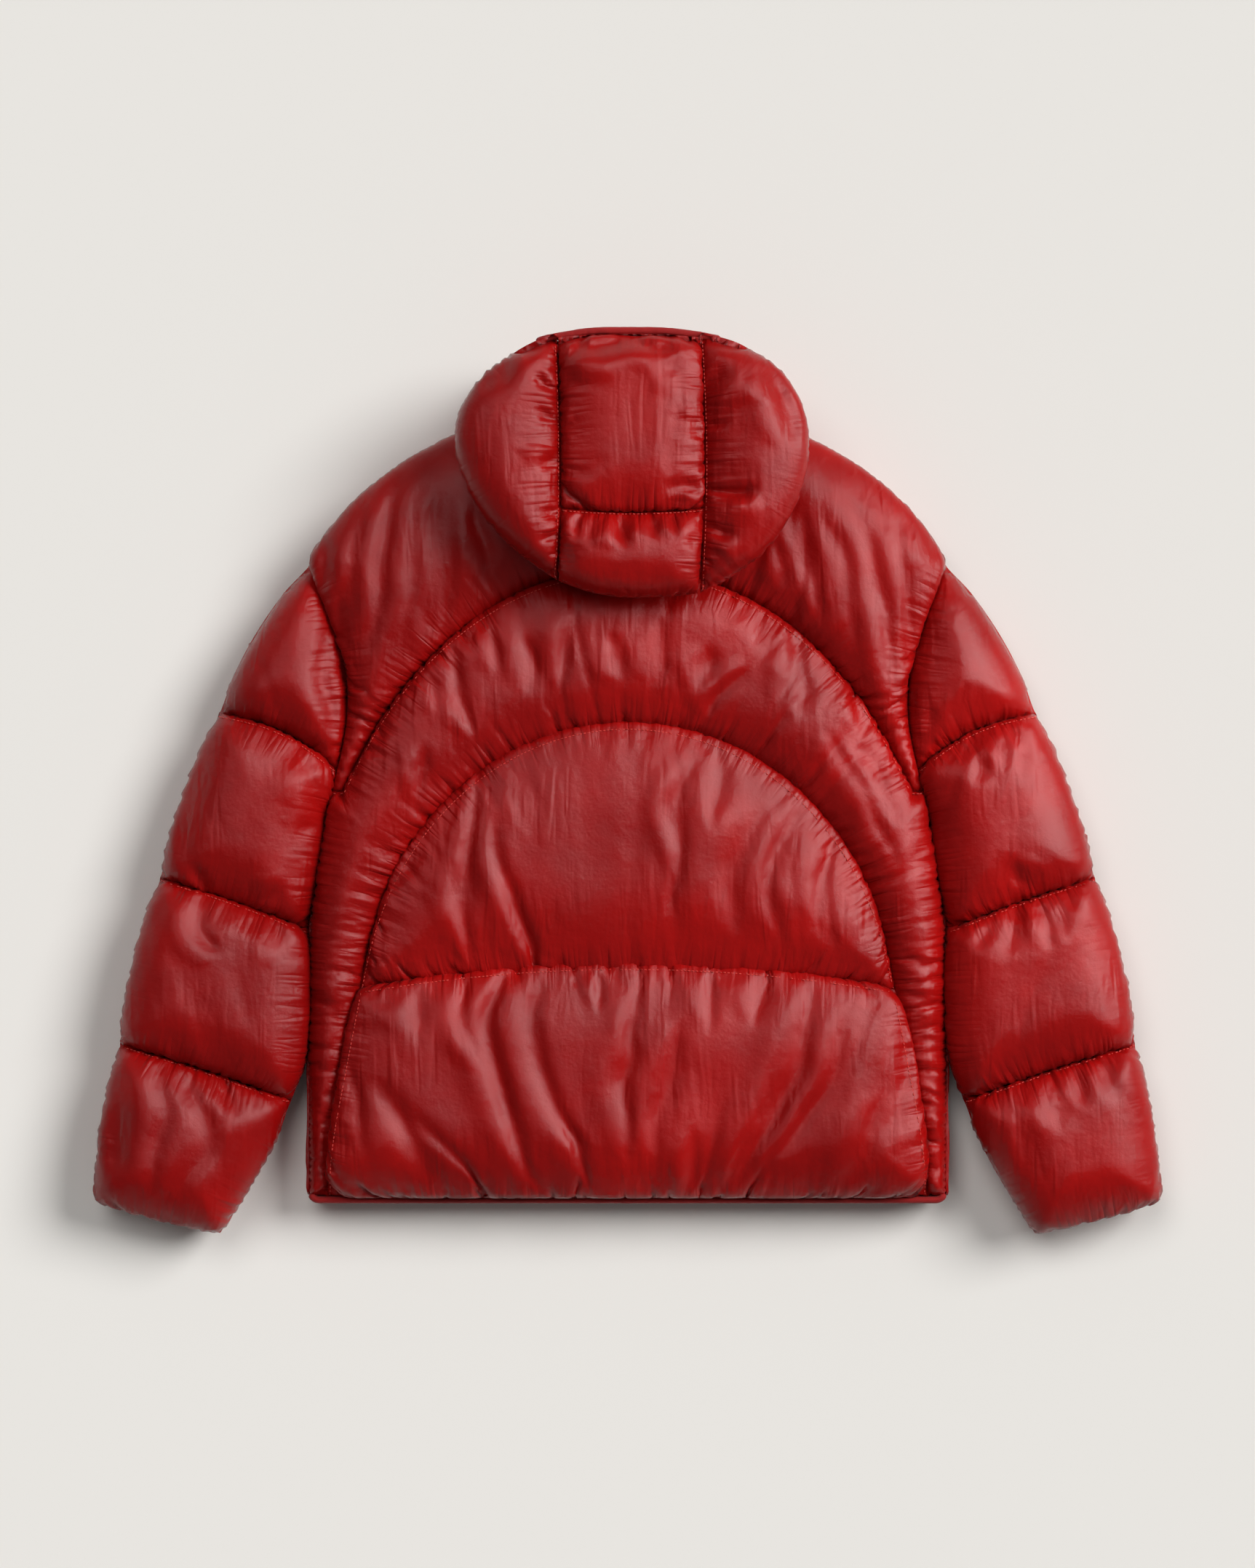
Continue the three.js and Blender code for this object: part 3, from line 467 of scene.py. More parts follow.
# the larger creases of each chamber: the points of a line in plan (mm), then its depth and its width, to the semicolon
CREASES = {
    "yoke_chamber": """
        -232,247 -244,189 -257,135 4.5 5; -203,274 -215,204 -236,135 5.5 5; -170,262 -171,185 -194,135 5 5;
        -159,255 -163,177 -174,146 4 4; -138,255 -136,185 3.5 5; -263,235 -267,177 -262,110 4 5; 134,222 148,180 4 5;
        150,247 169,197 184,152 5.5 5; 181,238 204,177 215,126 5 5; 204,226 231,150 248,89 6 5;
        233,232 246,177 258,120 262,60 5 5; 263,246 270,197 3.5 5; 190,262 222,196 238,130 3.5 5;
        -186,276 -190,190 -212,138 3.5 4""",
    "arch_band_chamber": """
        -47,146 -55,112 -59,85 5.5 5; -16,136 -3,96 4 5; 73,122 63,85 5 5; 104,98 80,81 74,64 5 4.5;
        146,135 154,104 138,73 5 5; 158,100 161,58 4 4; -120,135 -119,100 4 5; -155,120 -153,81 -140,47 5 5;
        -174,96 -174,58 4 5; -222,78 -230,32 4.5 5; -189,40 -196,-17 4 4; -243,15 -272,-17 4 4;
        177,49 223,-18 244,-76 4.5 5; 202,40 246,-34 4 4; 28,140 22,92 3.5 5; 196,92 214,48 4 5; -88,128 -92,84 3.5 5;
        118,150 112,118 3 4; 250,-150 288,-186 3 4; 252,-190 290,-214 3 3.5; 256,-228 291,-252 3 3.5;
        262,-262 293,-284 3 3.5; 266,-292 294,-312 2.6 3.2; 272,-322 296,-338 2.6 3.2; -262,-120 -290,-150 2.6 4.5;
        -268,-210 -292,-190 2.4 4.5""",
    "dome_chamber": """
        -128,-1 -135,-59 -147,-118 -143,-155 5.5 5; -118,-34 -106,-92 -88,-138 -87,-168 6 5; -180,-51 -209,-101 3.5 5;
        53,18 40,-34 48,-72 32,-113 5 5; 80,18 73,-51 3.5 5; 115,-34 87,-84 96,-130 4.5 6;
        144,-34 123,-84 136,-138 4.5 6; 181,-51 165,-101 181,-151 4.5 6; 211,-101 219,-143 3 5; -60,-150 -62,-168 3 4""",
    "lower_chamber": """
        -143,-186 -147,-222 -128,-267 4.5 5; -110,-190 -124,-234 -106,-296 -80,-363 7.5 5.5;
        -80,-194 -89,-234 -68,-292 -39,-330 5.5 5; -22,-190 -25,-222 4 4.5; 11,-200 7,-250 -4,-280 3,-338 6 5.5;
        53,-234 36,-280 19,-338 5.5 5.5; 77,-190 71,-234 4 4.5; 123,-192 111,-234 4 5;
        169,-196 148,-269 127,-309 96,-359 7.5 5.5; 198,-217 173,-284 140,-338 5 5.5; -193,-202 -189,-242 4 5;
        -222,-276 -176,-359 5 6; -60,-300 -36,-360 4.5 4.5; 60,-310 52,-365 4.5 4.5; 220,-290 196,-360 4 5;
        -246,-260 -232,-330 3.5 5; 240,-230 236,-290 3.5 5""",
    "left_sleeve_cap_chamber": """
        -281,153 -284,90 -277,35 6 5; -320,60 -314,36 3 4""",
    "left_sleeve_upper_chamber": """
        -372,60 -397,-7 -399,-82 4 9; -309,27 -298,-24 -315,-49 5 5; -288,31 -290,-40 4 5; -326,-82 -342,-102 4 4;
        -396,-70 -392,-96 5 4""",
    "left_sleeve_lower_chamber": """
        -397,-104 -395,-141 -380,-158 6 5; -347,-121 -330,-171 4 4.5; -362,-116 -350,-150 3.5 4.5;
        -310,-128 -312,-160 3.5 4""",
    "left_sleeve_end_chamber": """
        -433,-255 -429,-318 -439,-373 5.5 5; -422,-262 -396,-330 -424,-376 5 6; -460,-300 -468,-360 4 6;
        -342,-276 -336,-300 4 4; -395,-272 -372,-310 4 5""",
    "right_sleeve_cap_chamber": """
        285,73 283,31 5 5; 338,73 348,50 4 4; 320,70 312,28 3.5 5""",
    "right_sleeve_upper_chamber": """
        348,36 346,0 5 4.5; 359,48 367,-3 4.5 6; 386,52 396,14 3.5 6; 371,-95 358,-70 4.5 5; 330,24 322,-4 4 4.5""",
    "right_sleeve_lower_chamber": """
        382,-116 388,-158 6 5; 363,-124 354,-163 5 5; 397,-120 403,-150 4 5; 345,-132 334,-160 4 5;
        430,-110 436,-140 3 5""",
    "right_sleeve_end_chamber": """
        409,-272 422,-301 5 5; 439,-259 443,-301 4.5 5; 396,-278 402,-320 4 5; 470,-252 480,-300 4 6;
        360,-300 380,-360 3.5 7""",
    "hood_top_chamber": """
        -60,387 -17,391 46,394 7 4.5; -52,400 -40,396 -30,408 4 3.5; -10,398 8,403 14,411 4 3.5; 30,400 44,406 3 3.5;
        -58,276 -30,257 4 4; 34,272 50,280 66,276 5.5 4; 36,262 62,266 4.5 4; -58,345 -48,352 3 3.5;
        62,330 52,322 3 3.5; 20,385 46,372 3 6""",
    "hood_crown_chamber": """
        -52,248 -40,226 4.5 4; -8,247 4,222 4.5 4.5; 20,246 26,230 3.5 4; 40,248 46,232 4 4; 64,232 52,220 3.5 4;
        -58,214 -46,200 3 4""",
    "left_hood_chamber": """
        -108,391 -113,357 4.5 6; -118,384 -130,352 4 5; -69,302 -83,286 5 3.5; -69,360 -80,372 4.5 3.5;
        -68,334 -84,342 4 4; -67,250 -82,254 4.5 3.5; -68,226 -80,236 3.5 4""",
    "right_hood_chamber": """
        75,275 98,270 112,276 6.5 4.5; 76,262 96,256 4 4; 76,226 98,233 4.5 3.5; 74,214 88,214 3 3.5;
        128,357 140,313 4.5 5; 117,377 133,345 4 5; 75,355 96,382 4 6; 76,336 88,326 3.5 4""",
}


def crease_rows(name):
    """A chamber's creases, each as its points, depth and width."""
    for row in CREASES.get(name, "").split(";"):
        *points, depth, width = row.split() or [0, 0]
        if points:
            yield np.array([p.split(",") for p in points], float), float(depth), float(width)


def smooth_line(points, n=14):
    """A round curve through the points of a crease."""
    p = points
    if len(p) == 2:
        x, y = p[1] - p[0]
        p = np.array([p[0], p.mean(0) + np.array([-y, x]) * 0.06, p[1]])
    ext = np.concatenate([[2 * p[0] - p[1]], p, [2 * p[-1] - p[-2]]])
    out = []
    for k in range(len(p) - 1):
        a, b, c, d = ext[k : k + 4]
        t = np.linspace(0, 1, n, endpoint=False)[:, None]
        out.append(0.5 * (2 * b + (c - a) * t + (2 * a - 5 * b + 4 * c - d) * t**2 + (3 * b - a - 3 * c + d) * t**3))
    return np.concatenate(out + [p[-1:]])


def creases(c):
    """How far the larger creases dip: a valley with a ridge beside it, fading at both ends."""
    dip = np.zeros(len(c.p2))
    x, y = c.p2[:, 0] / 26, c.p2[:, 1] / 34
    warped = c.p2 + 5 * np.c_[value_noise(x, y, 61), value_noise(x, y, 62)]
    for number, (points, depth, width) in enumerate(crease_rows(c.name)):
        line = smooth_line(points)
        far, near = distance(warped, line)
        share = near / (len(line) - 1)
        depth = depth * (1.5 if c.group == "hood" else 1.05)
        width = width * (0.75 + 0.75 * np.sin(share * math.pi)) * (0.85 + 0.35 * (number % 3) / 2)
        tangent = unit(np.gradient(line, axis=0))
        rel = warped - line[near]
        side = rel[:, 0] * tangent[near, 1] - rel[:, 1] * tangent[near, 0]
        q = np.where(far > 0, np.sign(side) * far, 0) / width
        fade = np.sin(share * math.pi * 0.96 + 0.06) ** 0.7
        end = np.where((near == 0) | (near == len(line) - 1), np.exp(-((far / width) ** 2) * 0.4), 1)
        dip += depth * fade * end * (np.exp(-(q**2)) - 0.55 * np.exp(-(((q - 2.4) / 1.7) ** 2)))
    return dip


def set_heights():
    """The shape that each chamber's fabric starts from."""
    for c in chambers:
        c.seam = seam_points(c)
    for number, c in enumerate(chambers):
        free = np.concatenate([o.p2[o.rim][~o.seam] for o in chambers if o.group == c.group])
        to_free = distance(c.p2, free)[0]
        x, y = np.abs(c.p2[:, 0]), c.p2[:, 1]
        if c.group == "back":
            edge_z = 38 + 12 * smooth01((-375 - y) / 10) * smooth01((285 - x) / 20)
            base = edge_z + (65 - edge_z) * rounded(to_free / 60)
        elif c.group == "hood":
            mouth = smooth01((y - 385) / 25) * smooth01((120 - x) / 20)
            base = HOOD_MID + 22 * np.maximum(rounded(to_free / 50), mouth)
        else:
            base = SLEEVE_MID + 21 * rounded(to_free / 48)
            if c.node.endswith("sleeve_end"):
                side = c.group.split("_")[0]
                outer, inner, _, _ = cuff_line(side)
                along = np.linalg.norm(c.p2 - (outer + inner) / 2, axis=1) / (np.linalg.norm(outer - inner) / 2)
                open_end = 15 * np.sqrt(np.clip(1 - along**2.6, 0, 1))
                base = np.maximum(base, SLEEVE_MID + open_end * smooth01((30 - off_cuff(side, c.p2)) / 24))
        c.rim_d, c.near = distance(c.p2, c.p2[c.rim])
        z = base + c.loft * dome(c.rim_d / c.reach)
        if c.group == "hood":
            z = np.minimum(z, HOOD_MID + (HOOD_HI - HOOD_MID) * dome(to_free / 46))
        z = z - folds(c, number) - creases(c)
        z[c.rim] = base[c.rim]
        c.full = np.c_[c.p2, z]


def bulge_free_edges():
    """A sleeve's outer edge swells a little between its seams."""
    for c in chambers:
        if not c.group.endswith("sleeve") or not c.seam.any():
            continue
        rim = c.p2[c.rim]
        push = 4.0 * smooth01(distance(rim, rim[c.seam])[0] / 40) * ~c.seam
        move = unit(rim - c.p2.mean(0)) * push[:, None]
        c.p2 = c.p2 + move[c.near] * np.exp(-c.rim_d / 18)[:, None]
        c.full[:, :2] = c.p2


def rim_tangents(c):
    """The way each of a chamber's rim points runs along the rim."""
    order = {int(v): k for k, v in enumerate(c.rim)}
    tangent = np.zeros((len(c.rim), 2))
    for a, b in c.rim_edges:
        t = c.p2[b] - c.p2[a]
        t /= np.linalg.norm(t)
        for v in (int(a), int(b)):
            k = order[v]
            tangent[k] += t if np.dot(tangent[k], t) >= 0 else -t
    return unit(tangent)


def settle(steps=70, inner=7):
    """Lets the fabric, which is cut larger than the down it covers, find its folds: every chamber at once.
    Distances between neighbours are held, stitched rims are fixed, and the down pushes outwards."""
    base, pos, edges, rest, fixed, tris = 0, [], [], [], [], []
    for c in chambers:
        p = c.full
        i, j = c.edges.T
        way = unit(c.p2[j] - c.p2[i])
        along_rim = np.sum(way * rim_tangents(c)[c.near[i]], 1) ** 2
        along_flow = np.sum(way * c.flow(c.p2[i])[2], 1) ** 2
        from_rim = (c.rim_d[i] + c.rim_d[j]) / 2
        slack = c.gather * np.exp(-from_rim / 26) * along_rim + c.extra * along_flow + 0.012
        rest.append(np.linalg.norm(p[i] - p[j], axis=1) * (1 + slack))
        pos.append(p)
        edges.append(c.edges + base)
        fixed.append(np.isin(np.arange(len(p)), c.rim))
        tris.append(c.tris + base)
        c.base = base
        base += len(p)
    full, edges, rest, fixed, tris = (np.concatenate(v) for v in (pos, edges, rest, fixed, tris))
    n = len(full)
    i, j = edges.T
    ends, others = np.concatenate([i, j]), np.concatenate([j, i])
    count = np.bincount(ends, minlength=n)[:, None]

    def spread(values):
        """Adds values, one for each end of each edge, at the points."""
        return np.stack([np.bincount(ends, values[:, k], n) for k in range(3)], 1)

    lap_full = spread(full[others]) / count - full
    on_back = np.concatenate([np.full(len(c.p2), c.group == "back") for c in chambers])
    pos = full.copy()
    pos[:, 2] += np.where(fixed, 0, RNG.normal(0, 0.9, n))
    last = pos.copy()
    for step in range(steps):
        a, b, c3 = (pos[tris[:, k]] for k in range(3))
        nf = np.cross(b - a, c3 - a)
        nv = unit(np.stack([np.bincount(tris.ravel(), np.repeat(nf[:, k], 3), n) for k in range(3)], 1))
        vel = (pos - last) * 0.86
        last = pos.copy()
        pos = pos + vel + nv * 0.28 * (1 if step < steps * 0.75 else 0.5)
        pos[fixed] = full[fixed]
        for _ in range(inner):
            d = pos[j] - pos[i]
            length = np.maximum(np.linalg.norm(d, axis=1), 1e-6)
            corr = d * (0.5 * (length - rest) / length)[:, None]
            move = spread(np.concatenate([corr, -corr])) / count * 2.2
            move += 0.02 * (spread(pos[others]) / count - pos - lap_full)
            move[fixed] = 0
            pos += move
        pos[:, 1] = np.where(on_back, np.maximum(pos[:, 1], HEM_LINE), pos[:, 1])
        over = pos[:, 2] - (full[:, 2] + 5)
        pos[:, 2] -= np.where((over > 0) & ~fixed, over * 0.35, 0)
        under = (full[:, 2] - 14) - pos[:, 2]
        pos[:, 2] += np.where((under > 0) & ~fixed, under * 0.3, 0)
    for c in chambers:
        c.pos = pos[c.base : c.base + len(c.p2)]


set_heights()
bulge_free_edges()
settle()

# ------------------------------------------------------------------ materials


def srgb(*rgb):
    """A colour on the 0 to 255 scale of a picture, as Blender takes it."""
    v = [c / 255 for c in rgb]
    return tuple(c / 12.92 if c <= 0.04045 else ((c + 0.055) / 1.055) ** 2.4 for c in v) + (1,)


class Shader:
    """A new material's node tree."""

    def __init__(self, name, **look):
        self.material = bpy.data.materials.new(name)
        self.material.use_nodes = True
        self.tree = self.material.node_tree
        self.surface = self.tree.nodes["Principled BSDF"]
        self.place = self.node("TexCoord").outputs["Object"]
        self.fill(self.surface, look)

    def node(self, kind, inputs=(), **settings):
        """A node. inputs gives each socket a number, or another node's output."""
        n = self.tree.nodes.new("ShaderNode" + kind)
        for key, value in settings.items():
            setattr(n, key, value)
        self.fill(n, inputs)
        return n

    def fill(self, n, inputs):
        for key, value in dict(inputs).items():
            if isinstance(value, bpy.types.NodeSocket):
                self.tree.links.new(value, n.inputs[key])
            else:
                n.inputs[key].default_value = value

    def noise(self, scale, detail, vector=None, **more):
        inputs = {"Scale": scale, "Detail": detail, "Vector": self.place if vector is None else vector, **more}
        return self.node("TexNoise", inputs).outputs["Fac"]

    def ramp(self, fac, low, high, colours):
        n = self.node("ValToRGB", {"Fac": fac})
        for e, position, colour in zip(n.color_ramp.elements, (low, high), colours):
            e.position, e.color = position, colour
        return n.outputs["Color"]

    def between(self, value, low, high, **more):
        return self.node("MapRange", {"Value": value, "To Min": low, "To Max": high, **more}).outputs["Result"]

    def mapped(self, vector, **inputs):
        return self.node("Mapping", {"Vector": vector, **inputs}).outputs["Vector"]

    def bump(self, height, strength, distance, under=None):
        inputs = {"Height": height, "Strength": strength, "Distance": distance}
        if under is not None:
            inputs["Normal"] = under
        return self.node("Bump", inputs).outputs["Normal"]

    def math(self, operation, *values):
        return self.node("Math", enumerate(values), operation=operation).outputs[0]


def nylon(name, colour, dark, rough=0.36, sheen=0.35, weave=0.25):
    """Woven nylon: blotches of tone, a fine weave, crinkles in patches, and puckers square to the seams."""
    m = Shader(name)
    threads = [
        m.node(
            "TexWave", {"Scale": 860, "Distortion": 0.8, "Vector": m.place}, wave_type="BANDS", bands_direction=axis
        ).outputs["Fac"]
        for axis in "XY"
    ]
    normal = m.bump(m.math("MULTIPLY", *threads), weave, 0.0003)
    normal = m.bump(m.noise(38, 5, Roughness=0.6), 0.35, 0.0035, normal)
    stretched = m.mapped(m.place, Scale=(90, 15, 50), Rotation=(0, 0, 0.12))
    patches = m.between(m.noise(13, 2, Roughness=0.55), 0.05, 1, **{"From Min": 0.42, "From Max": 0.62})
    normal = m.bump(m.noise(1, 1, stretched, Distortion=0.6), patches, 0.0022, normal)
    seam = m.node("Attribute", attribute_name="seam").outputs["Vector"]
    gather = m.node("Attribute", attribute_name="gather").outputs["Fac"]
    pucker = m.noise(1, 1, m.mapped(seam, Scale=(0.115, 0.115, 0.014)), Distortion=0.3)
    normal = m.bump(m.math("ABSOLUTE", m.math("SUBTRACT", pucker, 0.5)), gather, 0.0075, normal)
    m.fill(m.surface, {
        "Base Color": m.ramp(m.noise(9, 4, Roughness=0.55), 0.35, 0.68, (dark, colour)),
        "Roughness": m.between(m.noise(24, 3, Roughness=0.55), rough - 0.05, rough + 0.07),
        "Sheen Weight": sheen,
        "Sheen Roughness": 0.45,
        "Sheen Tint": srgb(255, 170, 165),
        "Specular IOR Level": 0.25,
        "Normal": normal,
    })
    return m.material


def metal(name, colour, worn):
    """Dark coated metal, a little worn, with blotches in its roughness and a fine bump."""
    m = Shader(name)
    blotch = m.noise(260, 4)
    m.fill(m.surface, {
        "Metallic": 0.9,
        "Base Color": m.ramp(blotch, 0.45, 0.72, (colour, worn)),
        "Roughness": m.between(blotch, 0.28, 0.5),
        "Normal": m.bump(blotch, 0.2, 0.0002),
    })
    return m.material


SHELL = nylon("shell_nylon", srgb(146, 8, 7), srgb(124, 5, 5), rough=0.22, sheen=0.02)
FRONT = nylon("front_nylon", srgb(143, 8, 7), srgb(122, 5, 5), rough=0.25, sheen=0.02)
LINING = nylon("lining_taffeta", srgb(96, 14, 18), srgb(80, 10, 14), rough=0.5)
BINDING = nylon("binding_elastic", srgb(150, 20, 20), srgb(126, 13, 14), rough=0.62, sheen=0.1, weave=0.7)
THREAD = nylon("thread", srgb(196, 62, 54), srgb(176, 44, 38), rough=0.6, sheen=0.1)
METAL = metal("zip_metal", srgb(52, 50, 50), srgb(92, 88, 86))

# ------------------------------------------------------------------ pieces


def make(name, verts, faces, material, smooth=True):
    """A new object, from points in mm."""
    mesh = bpy.data.meshes.new(name)
    mesh.from_pydata([tuple(v) for v in np.asarray(verts) / 1000], [], [tuple(int(i) for i in f) for f in faces])
    mesh.validate()
    mesh.update()
    o = bpy.data.objects.new(name, mesh)
    bpy.context.scene.collection.objects.link(o)
    mesh.materials.append(material)
    if smooth:
        mesh.polygons.foreach_set("use_smooth", [True] * len(mesh.polygons))
    return o


def closed(c, bottom):
    """The chamber's fabric as a closed form: the settled top, an underside, and a wall round the rim,
    but for an open cuff."""
    n = len(c.pos)
    verts = np.concatenate([c.pos, np.c_[c.p2, bottom]])
    faces = [tuple(t) for t in c.tris]
    faces += [(t[0] + n, t[2] + n, t[1] + n) for t in c.tris]
    directed = {(int(t[k]), int(t[(k + 1) % 3])) for t in c.tris for k in range(3)}
    open_end = at_cuff(c, c.p2)
    for a, b in c.rim_edges:
        a, b = int(a), int(b)
        if open_end[a] and open_end[b]:
            continue
        if (b, a) in directed:
            a, b = b, a
        faces.append((b, a, a + n, b + n))
    return verts, faces


def sewn_share(c):
    """How far each point of a chamber's rim is sewn to another chamber, a hem or a cuff: 1 at a seam."""
    others = [o for o in chambers if o is not c and (o.group == "hood") == (c.group == "hood")]
    near = distance(c.loop, np.concatenate([o.loop for o in others]))[0] < 6
    sewn = near | (c.loop[:, 1] < HEM_LINE + 6) | at_cuff(c, c.loop)
    share = np.where(sewn, 1.0, 0.3)
    for _ in range(3):
        share = (np.roll(share, 1) + share + np.roll(share, -1)) / 3
    return share


def mark_seams(o, c):
    """Stores where each point lies along and away from the rim, and how much the stitching gathers it there:
    the material draws its fine puckers from these. The way round the rim is kept as a circle, which has no end."""
    loop, n = c.loop, len(c.p2)
    run = run_length(np.concatenate([loop, loop[:1]]))
    t = unit(np.roll(loop, -1, 0) - np.roll(loop, 1, 0))
    away, near = distance(c.p2, loop)
    turn = 2 * math.pi * (run[near] + ((c.p2 - loop[near]) * t[near]).sum(1)) / run[-1]
    radius = run[-1] / (2 * math.pi)
    mark = np.c_[radius * np.cos(turn), radius * np.sin(turn), away]
    a, b = c.edges.T
    jump = np.linalg.norm(mark[a, :2] - mark[b, :2], axis=1) > 2.2 * np.linalg.norm(c.p2[a] - c.p2[b], axis=1)
    torn = np.zeros(n, bool)
    torn[a[jump]] = torn[b[jump]] = True
    gather = np.clip(1 - (away - 2) / 34, 0, 1) * sewn_share(c)[near]
    count = np.bincount(np.r_[a, b], minlength=n)
    for _ in range(4):
        gather[torn] = 0
        mean = (np.bincount(a, gather[b], n) + np.bincount(b, gather[a], n)) / count
        gather = (gather + mean) / 2
    gather[torn] = 0
    mesh = o.data
    mesh.attributes.new("seam", "FLOAT_VECTOR", "POINT").data.foreach_set("vector", np.tile(mark, (2, 1)).ravel())
    mesh.attributes.new("gather", "FLOAT", "POINT").data.foreach_set("value", np.tile(gather, 2))


def underside(c):
    """The height of a chamber's lower side."""
    if c.group == "back":
        return np.minimum(BACK_Z + 0.2, c.full[:, 2] - 1)
    if c.group == "hood":
        low = np.maximum(HOOD_LO + 1, HOOD_MID - (c.full[:, 2] - HOOD_MID) * 0.8)
        return low + (np.maximum(low, HOOD_MID - 1) - low) * smooth01((c.p2[:, 1] - 300) / 70)
    return np.maximum(0.3, SLEEVE_MID - (c.pos[:, 2] - SLEEVE_MID) * 1.05)


chamber_pieces = []
for c in chambers:
    o = make(c.name, *closed(c, underside(c)), SHELL)
    mark_seams(o, c)
    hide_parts(c.node)
    chamber_pieces.append((o, c))

# ------------------------------------------------------------------ pieces made from a CAD node's own form
FLOOR_GAP = 0.2  # by which the hidden side stays off the floor


def hood_limit(x):
    """How far up the hood's own edge reaches at a distance from the middle."""
    edge = np.concatenate([e[e[:, 1] > HOOD_Y0 + 0.6 * (HOOD_Y1 - HOOD_Y0)] for e in (LEFT_EDGE, RIGHT_EDGE)])
    edge = edge[np.argsort(edge[:, 0])]
    return np.interp(x, edge[:, 0], edge[:, 1])


def bend_with_sleeve(o, elbow):
    """Bakes a piece's placement into its points, the same way for an elbow piece as for a shoulder piece; the cloth is
    not bent.
    """
    if elbow:
        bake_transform(o)
    else:
        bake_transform(o)


def nape():
    """The padded cloth that joins the collar to the hood's end, hidden under the hood until it is turned up."""
    way = np.array([(366, 66), (382, 77), (395, 83), (405, 90), (409.5, 101), (404, 110)], float)
    run = run_length(way)
    at = np.linspace(0, run[-1], 26)
    path = np.stack([np.interp(at, run, way[:, k]) for k in range(2)], 1)
    for _ in range(6):
        path[1:-1] = (path[:-2] + path[1:-1] * 2 + path[2:]) / 4
    t = unit(np.gradient(path, axis=0))
    across = np.linspace(-1, 1, 70)
    half = np.interp(at / run[-1], [0, 0.5, 0.75, 1], [110, 104, 84, 80])
    x = half[:, None] * across[None]
    rows = np.arange(len(at))[:, None] + 0 * x
    thick = 3.6 * (1 - np.abs(across) ** 4)[None] ** 0.5
    thick = thick + 0.9 * value_noise(x / 7, rows / 8, 311) * (1 - across**2)[None]
    sides = []
    for sign in (1, -1):
        y = path[:, :1] - sign * t[:, 1:] * thick
        z = path[:, 1:] + sign * t[:, :1] * thick
        sides.append(np.stack([x, y, z], 2).reshape(-1, 3))
    m, n = x.shape
    count = m * n
    faces = []
    for i in range(m - 1):
        for k in range(n - 1):
            a, b, c, d = i * n + k, i * n + k + 1, (i + 1) * n + k + 1, (i + 1) * n + k
            faces += [(a, b, c, d), (a + count, d + count, c + count, b + count)]
    at_rim = np.arange(count).reshape(m, n)
    rim = [int(i) for i in np.r_[at_rim[0], at_rim[1:, -1], at_rim[-1, -2::-1], at_rim[-2:0:-1, 0]]]
    faces += [(b, a, a + count, b + count) for a, b in zip(rim, rim[1:] + rim[:1])]
    return np.concatenate(sides), faces


def softened(name, node, material, slot, body, seed, cut, rounds, wrinkle, fine, swell=0.0):
    """A node's form in cloth: its edges cut to about the length cut, relaxed, swollen, and wrinkled
    at the scale of fine."""
    co, tris = cad_arrays(node)
    bm = bmesh.new()
    vs = [bm.verts.new(v) for v in co]
    for t in tris:
        if len(set(t)) == 3:
            bm.faces.new([vs[k] for k in t])
    for _ in range(5):
        long = [e for e in bm.edges if e.calc_length() > cut * 1.4]
        if not long:
            break
        bmesh.ops.subdivide_edges(bm, edges=long, cuts=1)
        bmesh.ops.triangulate(bm, faces=bm.faces[:])
    for _ in range(rounds):
        bmesh.ops.smooth_vert(bm, verts=bm.verts[:], factor=0.5, use_axis_x=True, use_axis_y=True, use_axis_z=True)
    bm.normal_update()
    p = np.array([v.co[:] for v in bm.verts])
    n = np.array([v.normal[:] for v in bm.verts])
    w = value_noise(p[:, 0] / fine, p[:, 1] / (fine * 2.2) + p[:, 2] / 13, seed)
    w += 0.5 * value_noise(p[:, 0] / (fine * 2.7), p[:, 1] / (fine * 2.5), seed + 1)
    p += n * (swell + wrinkle * w)[:, None]
    p[:, 2] = np.maximum(p[:, 2], FLOOR_GAP)
    if body == "hood":
        p[:, 1] = np.minimum(p[:, 1], hood_limit(p[:, 0]) - 7)
    faces = [[v.index for v in f.verts] for f in bm.faces]
    bm.free()
    o = make(name, p, faces, material)
    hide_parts(node)
    if "sleeve_lining" in node or "forearm_lining" in node:
        bend_with_sleeve(o, "forearm" in node)
    else:
        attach(o, body)
    return o


def tube_faces(rings, sides, shut=False):
    """The faces between rings of points. shut joins the last ring to the first."""
    faces = []
    for i in range(rings if shut else rings - 1):
        j = (i + 1) % rings
        for k in range(sides):
            m = (k + 1) % sides
            faces.append((i * sides + k, i * sides + m, j * sides + m, j * sides + k))
    return faces


